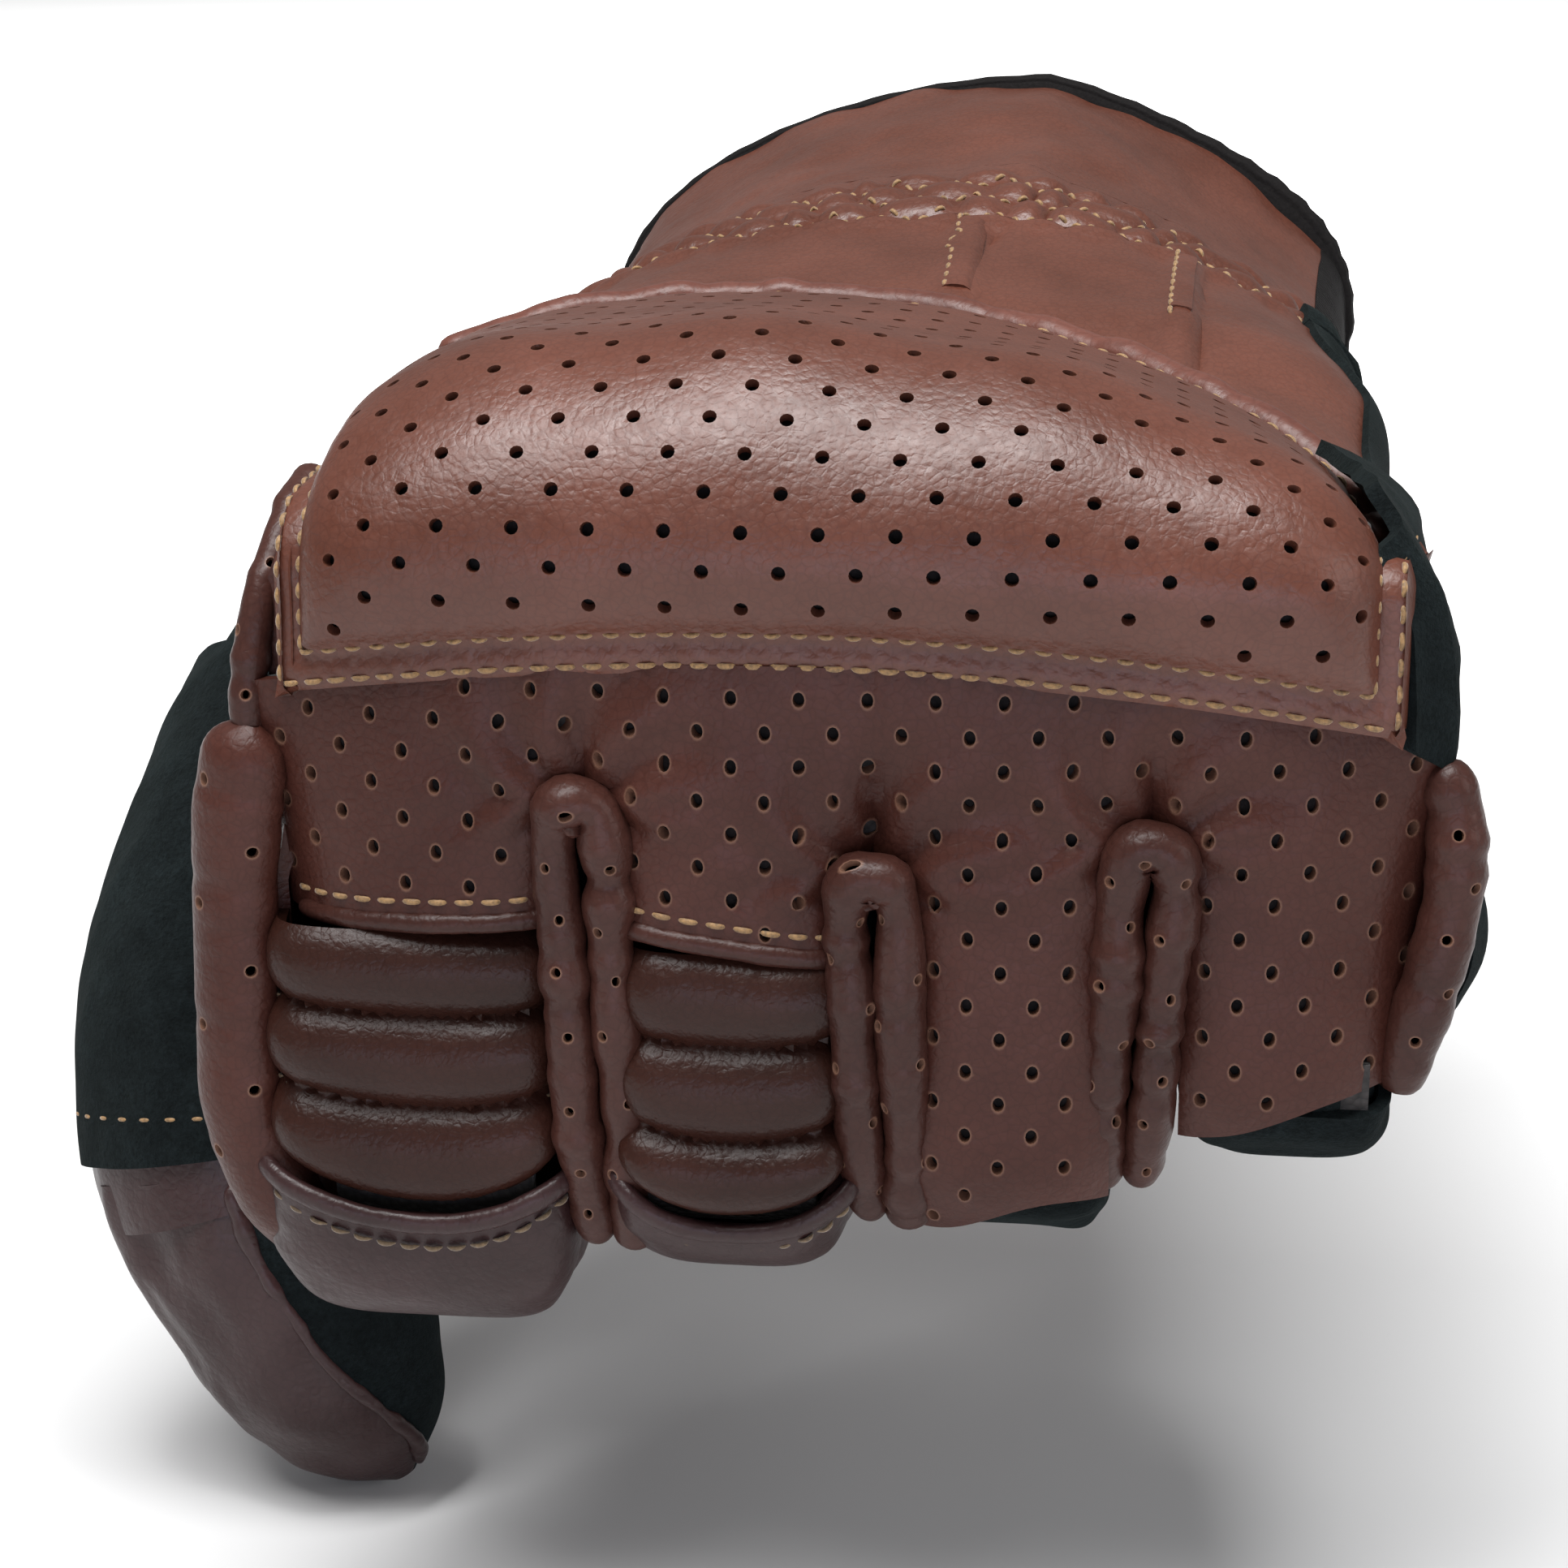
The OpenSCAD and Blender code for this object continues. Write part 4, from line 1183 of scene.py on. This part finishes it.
def back_surface(extra=0.0):
    def surface(y, a):
        e = 0.4
        base = hand_section(y, a)
        n = np.cross(hand_section(y, a + e) - hand_section(y, a - e), hand_section(y + e, a) - hand_section(y - e, a))
        n /= np.maximum(np.linalg.norm(n, axis=1, keepdims=True), 1e-12)
        middle = stack(0 * y, y, 0 * y - 2)
        n = np.where(np.sum(n * (base - middle), axis=1)[:, None] < 0, -n, n)
        x = base[:, 0]
        up = smooth(base[:, 2], -6, 6)
        lift = up * (puffs(x, y) + tuck_lift(x, y))
        soft = smooth(y, -44, -34)
        lift = lift + soft * (0.9 * noise(base, 14, 91) + 0.6 * noise(base * [1, 0.6, 1], 6.5, 92) + 0.2 * noise(
            base, 3.2, 93))
        lift = lift + (1 - soft) * (0.4 * noise(base, 15, 94) + 0.12 * noise(base, 5, 95))
        under_guard = 1 - smooth(y, -92, -76)
        return base + n * (lift - 2.4 * under_guard + extra)[:, None]

    return surface


def from_middle(p):
    return p - stack(0 * p[:, 0], p[:, 1], 0 * p[:, 0] - 2)


WRIST_BEND = ("cuff", "hand", (0, SHIR_BACK, 0), (0, SHIR_FRONT, 0))


def band(name, ys, angles, mat, slot, where, replaces=(), extra=0.0, t=1.2, step=0.9):
    """A panel of the hand or cuff between two places along it and two angles round it."""
    surface = back_surface(extra)
    nu = max(6, int(abs(ys[1] - ys[0]) / step) + 1)
    nv = max(6, int(abs(angles[1] - angles[0]) * 0.62 / step) + 1)
    u, v = np.meshgrid(np.linspace(*ys, nu), np.linspace(*angles, nv), indexing="ij")
    points = surface(u.ravel(), v.ravel())
    faces = outward(points, grid_faces(nu, nv), from_middle)
    points, faces = thicken(points, faces, t)
    return make(name, points, faces, mat, where, replaces)


HAND_FRONT = KNUCKLE[1] + 14.4
HAND_SIDE = float(table(np.array([HAND_FRONT]), HALF_W)[0])
HAND_MIDDLE = float(table(np.array([HAND_FRONT]), TOP)[0] + table(np.array([HAND_FRONT]), LOW)[0]) / 2
HAND_RISE = float(table(np.array([HAND_FRONT]), TOP)[0] - table(np.array([HAND_FRONT]), LOW)[0]) / 2
SUEDE_EDGE = [(HAND_FRONT, 12), (-84, 20), (-66, 30), (-56, 36), (-50, 38)]


def build_hand():
    band("hand_back_leather", (HAND_FRONT, SHIR_FRONT - 0.1), (16, 162), LEATHER, "leather", "hand", ["hand_back"])
    strip = back_surface(0.25)
    for k, centre in enumerate((3.0, 23.5)):
        ys = np.linspace(SHIR_FRONT - 0.8, -80, 60)

        def angles_at(ys, x):
            a = np.full_like(ys, 90.0)
            for _ in range(12):
                a = a + (hand_section(ys, a)[:, 0] - x) * 1.1
            return a

        a = angles_at(ys, centre - 1.05)
        p, n = row_on(strip, ys, a, from_middle)
        stitches(f"hand_tuck_stitches_{k + 1}", p, n, THREAD, "hand", pitch=2.2, length=1.6, r=0.24, lift=-0.1)
    u, v = np.meshgrid(np.linspace(SHIR_FRONT - 2, -78, 24), np.linspace(-1, 1, 8), indexing="ij")
    a = angles_at(u.ravel(), 3.0) - v.ravel() * 1.5
    b = angles_at(u.ravel(), 23.5) - v.ravel() * 1.6
    arch = back_surface(0.15)
    one, two = arch(u.ravel(), a), arch(u.ravel(), b)
    faces = grid_faces(24, 8)
    both = np.vstack([one, two])
    all_faces = outward(both, faces + [tuple(i + len(one) for i in f) for f in faces], from_middle)
    points, closed = thicken(both, all_faces, 0.9)
    make("hand_tuck_strips", points, closed, LEATHER, "hand", ["hand_back_tucks"])


def suede_wrap(ys, low_angle, where, name, replaces, extra):
    """Suede that wraps round the little finger's side, with a visible cut edge on the back."""
    surface = back_surface(extra)
    nu = max(6, int(abs(ys[1] - ys[0]) / 0.9) + 1)
    nv = 60
    y, t = np.meshgrid(np.linspace(*ys, nu), np.linspace(0, 1, nv), indexing="ij")
    y, t = y.ravel(), t.ravel()
    high = table(y, SUEDE_EDGE) + 1.2 * noise(stack(y, 0 * y, 0 * y), 7, 97)
    high = high - 40 * smooth(y, -53, -47.5) ** 2
    angle = low_angle + (high - low_angle) * t
    points = surface(y, angle)
    faces = outward(points, grid_faces(nu, nv), from_middle)
    points, faces = thicken(points, faces, 1.5)
    make(name, points, faces, SUEDE, where, replaces)


def build_wrist_and_cuff():
    band("wrist_shirring_leather", (SHIR_FRONT, SHIR_BACK), (14, 164), LEATHER, "leather", WRIST_BEND,
         ["wrist_shirred_back"], step=0.55)
    band("cuff_back_leather", (SHIR_BACK + 0.1, -0.9), (24, 181), LEATHER, "leather", "cuff", ["cuff_back"])
    band("cuff_palm_leather", (SHIR_BACK + 0.1, -0.9), (181.3, 332), LEATHER, "leather", "cuff",
         ["cuff_palm_side"])
    band("cuff_elastic_band", (SHIR_BACK + 0.1, -0.4), (-28, 24), ELASTIC, "elastic", "cuff",
         ["cuff_side_elastic"], extra=0.1, t=1.6)
    band("cuff_lining_cloth", (SHIR_BACK + 0.6, -1.2), (0, 360), LINING, "lining", "cuff", extra=-2.0, t=0.5,
         step=2.0)
    band("wrist_palm_gather_leather", (SHIR_FRONT, SHIR_BACK), (164, 374), LEATHER, "leather", WRIST_BEND,
         ["wrist_palm_gather"], step=0.9)
    angles = np.linspace(0, 360, 160)
    rim = hand_section(np.full_like(angles, -0.6), angles, 0.4)
    sides = 12
    turn = np.arange(sides) * 2 * math.pi / sides
    away = from_middle(rim) / np.linalg.norm(from_middle(rim) * [1, 0, 1], axis=1, keepdims=True)
    rings = []
    for k in range(len(angles) - 1):
        ribbed = (1 + 0.05 * math.sin(k * 1.9)) * (1 + 1.2 * math.exp(-(((angles[k] - 42) / 32) ** 2)))
        for q in turn:
            rings.append(rim[k] + away[k] * math.cos(q) * 1.35 * ribbed + np.array([0, 1.5 * math.sin(q), 0]))
    points = np.array(rings)
    count = len(angles) - 1
    faces = [(i * sides + j, i * sides + (j + 1) % sides, ((i + 1) % count) * sides + (j + 1) % sides,
              ((i + 1) % count) * sides + j) for i in range(count) for j in range(sides)]
    centre = np.repeat(rim[:-1], sides, axis=0)
    for k, row in enumerate(TAPES):
        where = WRIST_BEND
        band(f"wrist_elastic_tape_{k + 1}", (row - 1.5, row + 1.5), (35, 145), ELASTIC, "elastic", where,
             ["wrist_elastic_rows"] if k == 0 else [], extra=-1.9, t=0.7, step=1.2)
    make("cuff_binding_roll", points, outward(points, faces, lambda p: p - centre), ELASTIC, "cuff",
         ["cuff_binding"])
    top = back_surface(0.15)
    for k, row in enumerate(TAPES):
        a = np.linspace(30, 150, 420)
        x = hand_section(np.full_like(a, row), a)[:, 0]
        zigzag = 1.15 * (2 * np.abs(((x / PUFF + 0.5 * k) % 1) - 0.5) - 0.5) * 2
        p, n = row_on(top, row + zigzag, a, from_middle)
        stitches(f"shirring_stitches_{k + 1}", p, n, THREAD, WRIST_BEND, pitch=2.1, length=1.5, r=0.24, lift=-0.05)


def build_palm():
    suede_wrap((HAND_FRONT, SHIR_FRONT - 0.2), -36, "hand", "pinky_side_suede", ["pinky_side_panel"], 0.7)
    suede_wrap((SHIR_FRONT - 0.2, -47.5), -30, WRIST_BEND, "pinky_wrist_suede", [], 0.9)
    band("index_side_leather", (HAND_FRONT, -84), (158, 214), LEATHER, "leather", "hand", ["index_side_panel"])
    band("palm_suede", (HAND_FRONT, SHIR_FRONT - 0.2), (250, 324), SUEDE, "suede", "hand", ["palm_panel"])
    band("thumb_root_leather", (-84.2, SHIR_FRONT - 0.2), (161, 206), LEATHER, "leather", "hand")
    band("thumb_root_suede", (-84.2, SHIR_FRONT - 0.2), (205, 251), SUEDE, "suede", "hand", extra=-0.2)
    band("palm_thumb_edge_suede", (HAND_FRONT, -84), (214, 250), SUEDE, "suede", "hand", ["palm_thumb_edge"])
    low = hand_section(np.array([HAND_FRONT]), np.array([270.0]))[0, 2]
    crease_end = HAND["middle"].joint[1] + 9

    def crease(x, y):
        share = (y - crease_end) / (HAND_FRONT - crease_end)
        return stack(x, y, low + 0.4 + 1.6 * (x / 44) ** 4 + 0.8 * np.sin(math.pi * share) + 0.2 * noise(
            stack(x, y, 0 * x), 4, 99))

    bend = ("hand", "fingers", (0, HAND_FRONT, low), (0, crease_end, low))
    patch("palm_crease_suede", crease, (-36, 36), (crease_end, HAND_FRONT + 0.5),
          lambda p: np.broadcast_to([0, 0, -1.0], p.shape), 1.0, SUEDE, bend, ["palm_crease"], steps=1.2)
    for name in FINGERS:
        f = HAND[name]

        def underside(s, a, name=name):
            return finger_tube(name, s, a, 0.2 * noise(stack(s, a / 6, 0 * s), 6, 88))

        patch(f"{name}_underside_suede", underside, (f.joint[2] - low, -2), (100, 260), tube_away(name), 1.0,
              SUEDE, "fingers", [f"{name}_underside"], steps=-30)


SIDE_BULGE = {
    "index": [(-62, 44.0), (-55, 46.4), (-42, 49.0), (-27, 49.8), (-14, 48.2), (0, 47.0), (8, 43.5)],
    "pinky": [(-46, 41.0), (-39, 46.0), (-31, 50.6), (-22, 49.4), (-12, 47.4), (-2, 45.6), (8, 40.6)],
}


def side_panel(name, side, low, mat, punch):
    """One panel from the side of the hand over the knuckle and down the outer side of a finger."""
    f = HAND[name]
    front = f.front + 5.4
    fold = f.joint[1] + 8.5

    def surface(y, z):
        out = table(z, SIDE_BULGE[name])
        share = np.clip((y - front) / (HAND_FRONT - front), 0, 1)
        q = np.clip(np.abs(z - HAND_MIDDLE) / HAND_RISE, 0, 0.999)
        hand_x = HAND_SIDE * (1 - q**2.6) ** (1 / 2.6)
        finger_back = np.clip((y - front) / (fold - front), 0, 1)
        finger_x = out - 3.6 * finger_back**2.5 - 2.2 * (1 - finger_back) ** 4
        knuckle = smooth(z, -20, -10)
        x = finger_x * (1 - knuckle) + (out * (1 - share**1.6) + hand_x * share**1.6) * knuckle
        x = x - 3.4 * smooth(front - y, 0, 3.4)
        p = stack(0 * y, y, z)
        return stack(side * (x + 0.55 * noise(p, 7, 121) + 0.25 * noise(p, 2.6, 122)), y, z)

    reach = 0.0 if punch else 3.4
    outline = [(front, low + 4), (front, -15), (front - reach, -12), (front - reach, 3.0), (front + 3, 8.0), (HAND_FRONT, 8.0), (HAND_FRONT, HAND_MIDDLE - HAND_RISE + 3),
               (fold + 3, HAND_MIDDLE - HAND_RISE - 1), (fold, -20), (fold, low + 6), (fold - 4, low + 1.5),
               (fold - 9, low), (front + 2.5, low + 0.5)]
    holes = punched(outline, 5.3, 2.75, 0.47, 1.6, origin=(0.7, 0.4)) if punch else []
    cut_panel(f"{name}_finger_side_leather" if punch else f"{name}_finger_side_suede", outline, surface,
              lambda p: np.broadcast_to([1.0 * side, 0, 0], p.shape), holes, 0.95, 1.3, mat, KNUCKLE_BEND,
              [f"{name}_outer_wall", f"{name}_knuckle_side"])


def build_side_rolls():
    """Rolled seams down both sides of the fist, and the leather beside the knuckles."""
    index, pinky = HAND["index"], HAND["pinky"]
    x = -LEFT_W + 0.5
    # The index side panel and its side roll take the leather darkened with painted shade.
    side_panel("index", -1, index.joint[2] - 9.0, SHADED_FRONT_LEATHER, True)
    upper = [(x + 3.4, -121.0, 5.5), (x + 2.1, -127.0, 2.5), (x + 1.1, -131.0, -2.0), (x + 0.3, -132.6, -7.0),
             (x - 0.1, -133.2, -12.0), (x + 0.2, -133.2, -15.5)]
    upper = [np.array(p) for p in upper]
    punched_roll("index_knuckle_roll", spline(upper, 90), np.array([-0.5, -1.0, 0.0]), 3.0, 3.2, ROLLED,
                 KNUCKLE_BEND, [], wrinkle=0.3, seed=21,
                 spots=[(0.2, 0.2), (0.42, -0.25), (0.62, 0.15), (0.8, -0.2)])
    lower = [(x + 0.4, -134.0, -12.5), (x - 1.0, -133.4, -18.0), (x - 1.8, -133.0, -27.0), (x - 2.1, -132.8, -37.0),
             (x - 2.0, -132.6, -46.0), (x + 0.4, -131.6, -53.5), (x + 4.6, -129.0, -60.0)]
    spots = [(0.1 + 0.105 * k, 0.22 * (-1) ** k - 0.05) for k in range(9)]
    punched_roll("index_side_roll", spline(lower, 140), np.array([-0.35, -1.0, 0.0]), 7.6, 5.8, SHADED_FRONT_LEATHER, "fingers",
                 ["index_side_welt"], wrinkle=0.1, seed=23, spots=spots, r=0.5)
    px = RIGHT_W - 1.2
    side_panel("pinky", 1, pinky.joint[2] - 2.5, SUEDE, False)
    lower = [(px + 0.2, -129.4, -13.5), (px + 1.5, -129.8, -18.0), (px + 1.7, -130.0, -24.0),
             (px + 0.6, -130.2, -30.0), (px - 0.9, -130.2, -36.0), (px - 2.0, -129.4, -41.5)]
    punched_roll("pinky_side_roll", spline(lower, 120), np.array([0.35, -1.0, 0.0]), 4.6, 4.6, ROLLED, "fingers",
                 ["pinky_side_welt"], wrinkle=0.2, seed=27, spots=[(0.2 + 0.15 * k, 0.1 * (-1) ** k) for k in range(5)])


# ---------------------------------------------------------------------- thumb

THUMB_JOINT = JOINT["thumb_flex"]
THUMB_PATH = np.array([(-30, -44, -9), (-46, -64, -17), (-56.5, -84, -30), (-61.6, -96, -46), (-61.4, -101, -63),
                       (-54.6, -102, -79), (-46.0, -102, -94.5)], float) + (THUMB_JOINT - [-62.5, -101, -64])
THUMB_R = [(0, 17), (1, 16.5), (2, 14), (3, 13.2), (4, 13), (4.8, 12.4), (5.4, 10.2), (5.8, 6.2), (6, 1.2)]


def thumb_line(s):
    return np.stack([table(s, list(enumerate(THUMB_PATH[:, k]))) for k in range(3)], 1)


def thumb(s, a, lift=0.0):
    """The thumb: s from its root to its tip at 6, a is 0 on the outer side and 270 in front."""
    s = np.asarray(s, float)
    along = thumb_line(np.minimum(6, s + 0.3)) - thumb_line(np.maximum(0, s - 0.3))
    along /= np.linalg.norm(along, axis=1, keepdims=True)
    front = np.cross(np.array([1.0, 0, 0]), along)
    front /= np.linalg.norm(front, axis=1, keepdims=True)
    side = np.cross(front, along)
    r = table(s, THUMB_R) + lift
    a = np.radians(a)
    return thumb_line(s) + side * (r * np.cos(a))[:, None] + front * (0.86 * r * np.sin(a))[:, None]


def thumb_away(p):
    path = thumb_line(np.linspace(0, 6, 60))
    nearest = path[np.argmin(np.linalg.norm(p[:, None, :] - path[None], axis=2), axis=1)]
    return p - nearest


def thumb_skin(seed, crease, base=0.0):
    def surface(s, a):
        p = thumb(s, a)
        long = noise(p * [0.55, 1, 0.35], 3.0, seed) + 0.6 * noise(p * [0.5, 1, 0.3], 1.6, seed + 1)
        big = noise(p, 11, seed + 2)
        end = np.clip((6 - s) / 0.5, 0, 1)
        return thumb(s, a, base + (crease * long + 0.5 * big) * end)

    return surface


def seam_angle(s):
    return table(s, [(3.6, -100), (4.6, -103), (5.3, -112), (5.8, -135), (6.0, -150)])


def build_thumb():
    bend = ("thumb_base", "thumb_tip", tuple(THUMB_JOINT + [0, 0, 11]), tuple(THUMB_JOINT + [0, 0, -11]))
    patch("thumb_gusset_suede", thumb_skin(101, 0.3), (0.35, 1.9), (1, 359), thumb_away, 1.2, SUEDE,
          ("hand", "thumb_base", (-42, -60, -13), (-56, -82, -24)), ["thumb_gusset"], steps=-60)
    suede_low = 3.92
    patch("thumb_outer_suede", thumb_skin(103, 0.22, 0.9), (1.85, suede_low), (-104, 112), thumb_away, 1.5, SUEDE,
          bend, ["thumb_outer_patch"], steps=-90)
    patch("thumb_inner_leather", thumb_skin(105, 0.25), (1.85, 3.8), (112, 256), thumb_away, 1.2, LEATHER,
          "thumb_base", ["thumb_inner_panel"], steps=-60)
    patch("thumb_joint_leather", thumb_skin(107, 0.3), (3.6, 4.2), (1, 359), thumb_away, 1.0, DARK_LEATHER,
          bend, ["thumb_joint_panel"], steps=-70)
    skin = thumb_skin(109, 0.75)

    def leather(s, t):
        low = seam_angle(s)
        return skin(s, low + (100 - low) * t)

    n = 110
    u, v = np.meshgrid(np.linspace(4.0, 6, n), np.linspace(0, 1, n), indexing="ij")
    points = leather(u.ravel(), v.ravel())
    faces = outward(points, grid_faces(n, n), thumb_away)
    points, faces = thicken(points, faces, 1.2)
    make("thumb_tip_leather", points, faces, DARK_LEATHER, bend, ["thumb_tip_back"])
    fuzzy = thumb_skin(111, 0.16)
    u, v = np.meshgrid(np.linspace(4.0, 6, 80), np.linspace(0, 1, 80), indexing="ij")
    u, v = u.ravel(), v.ravel()
    low = seam_angle(u) + 360
    points = fuzzy(u, 101 + (low - 0.6 - 101) * v)
    faces = outward(points, grid_faces(80, 80), thumb_away)
    points, faces = thicken(points, faces, 1.2)
    make("thumb_tip_suede", points, faces, SUEDE, bend, ["thumb_tip_underside"])
    ss = np.linspace(4.05, 5.95, 80)
    path = thumb(ss, seam_angle(ss), 0.35)
    roll("thumb_seam_roll", path, np.array([0.0, -1.0, 0.0]), 1.5, 1.4, DARK_LEATHER, bend,
         wrinkle=0.2, seed=31)
    aa = np.linspace(-95, 60, 90)
    p, n = row_on(thumb_skin(103, 0.22, 0.9), np.full_like(aa, suede_low - 0.2), aa, thumb_away)
    stitches("thumb_patch_stitches", p, n, THREAD, bend, pitch=2.6, length=1.6, r=0.2, lift=-0.02)


def paint_cad():
    """Fabric and leather for the CAD pieces that stay, all of them inside the glove."""
    looks = {"leather": LEATHER, "dark_leather": DARK_LEATHER, "rolled_leather": ROLLED, "suede": SUEDE,
             "elastic": ELASTIC, "lining": LINING, "foam": LINING}
    for part in frame["record"]["subparts"]:
        data = frame["nodes"][part["node"]].data
        data.materials.clear()
        data.materials.append(looks[part["material_slot"]])


# ---------------------------------------------------------------- floor, light


def build_stage():
    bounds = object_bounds()
    low = float(bounds[0][2]) - 0.0005
    size = 3.0
    mesh = bpy.data.meshes.new("floor")
    mesh.from_pydata([(-size, -size, low), (size, -size, low), (size, size, low), (-size, size, low)], [],
                     [(0, 1, 2, 3)])
    floor = bpy.data.objects.new("floor", mesh)
    bpy.context.scene.collection.objects.link(floor)
    pale = bpy.data.materials.new("pale_floor")
    pale.use_nodes = True
    pale.node_tree.nodes["Principled BSDF"].inputs["Base Color"].default_value = (0.74, 0.74, 0.74, 1)
    pale.node_tree.nodes["Principled BSDF"].inputs["Roughness"].default_value = 0.9
    mesh.materials.append(pale)

    world = bpy.data.worlds.new("studio")
    bpy.context.scene.world = world
    world.use_nodes = True
    world.node_tree.nodes["Background"].inputs["Color"].default_value = (1, 1, 1, 1)
    world.node_tree.nodes["Background"].inputs["Strength"].default_value = 0.27


def lamp(name, place, target, size, watts, color=(1, 1, 1)):
    data = bpy.data.lights.new(name, "AREA")
    data.shape = "RECTANGLE"
    data.size, data.size_y = size
    data.energy = watts
    data.color = color
    obj = bpy.data.objects.new(name, data)
    bpy.context.scene.collection.objects.link(obj)
    obj.location = place
    obj.rotation_euler = (Vector(target) - Vector(place)).to_track_quat("-Z", "Y").to_euler()


CAMERA_TURN, CAMERA_RISE, CAMERA_AWAY = 7.0, 16.0, 280.0
VIEW_WIDTH = 120.75


def build_camera():
    target = np.array([-4.9, GUARD_LOW[1] - 0.5, SEAM_Z - 7.5])
    turn, rise = math.radians(CAMERA_TURN), math.radians(CAMERA_RISE)
    way = np.array([math.sin(turn) * math.cos(rise), -math.cos(turn) * math.cos(rise), math.sin(rise)])
    data = bpy.data.cameras.new("camera")
    data.sensor_width = 36
    data.lens = 36 * CAMERA_AWAY / VIEW_WIDTH
    data.clip_start = 0.01
    camera = bpy.data.objects.new("camera", data)
    bpy.context.scene.collection.objects.link(camera)
    camera.location = (target + way * CAMERA_AWAY) * MM
    camera.rotation_euler = Vector(-way).to_track_quat("-Z", "Y").to_euler()
    bpy.context.scene.camera = camera
    aim = tuple(KNUCKLE * MM)
    lamp("key", (-0.24, -0.42, 0.72), aim, (0.4, 0.4), 5.4)
    lamp("top", (0.02, -0.22, 0.8), aim, (0.5, 0.3), 8.0)
    lamp("side", (0.7, -0.3, 0.3), aim, (0.3, 0.5), 1.2)
    lamp("low", (0.1, -0.7, -0.02), aim, (0.6, 0.12), 0.8, (0.75, 0.78, 1.0))
    lamp("backdrop", (0, 0.6, 0.9), (0, 2.0, 0), (1.2, 0.4), 60)



def build_sides_and_hand():
    build_side_rolls()
    build_hand()
    build_wrist_and_cuff()
    build_palm()
    build_thumb()


bpy.context.scene.view_settings.view_transform = "Standard"
build_camera()
build_guard()
build_fronts()
build_welts()
build_gaps()
build_ribs()
build_tips()
build_plain_joints()
build_sides_and_hand()
paint_cad()
build_stage()
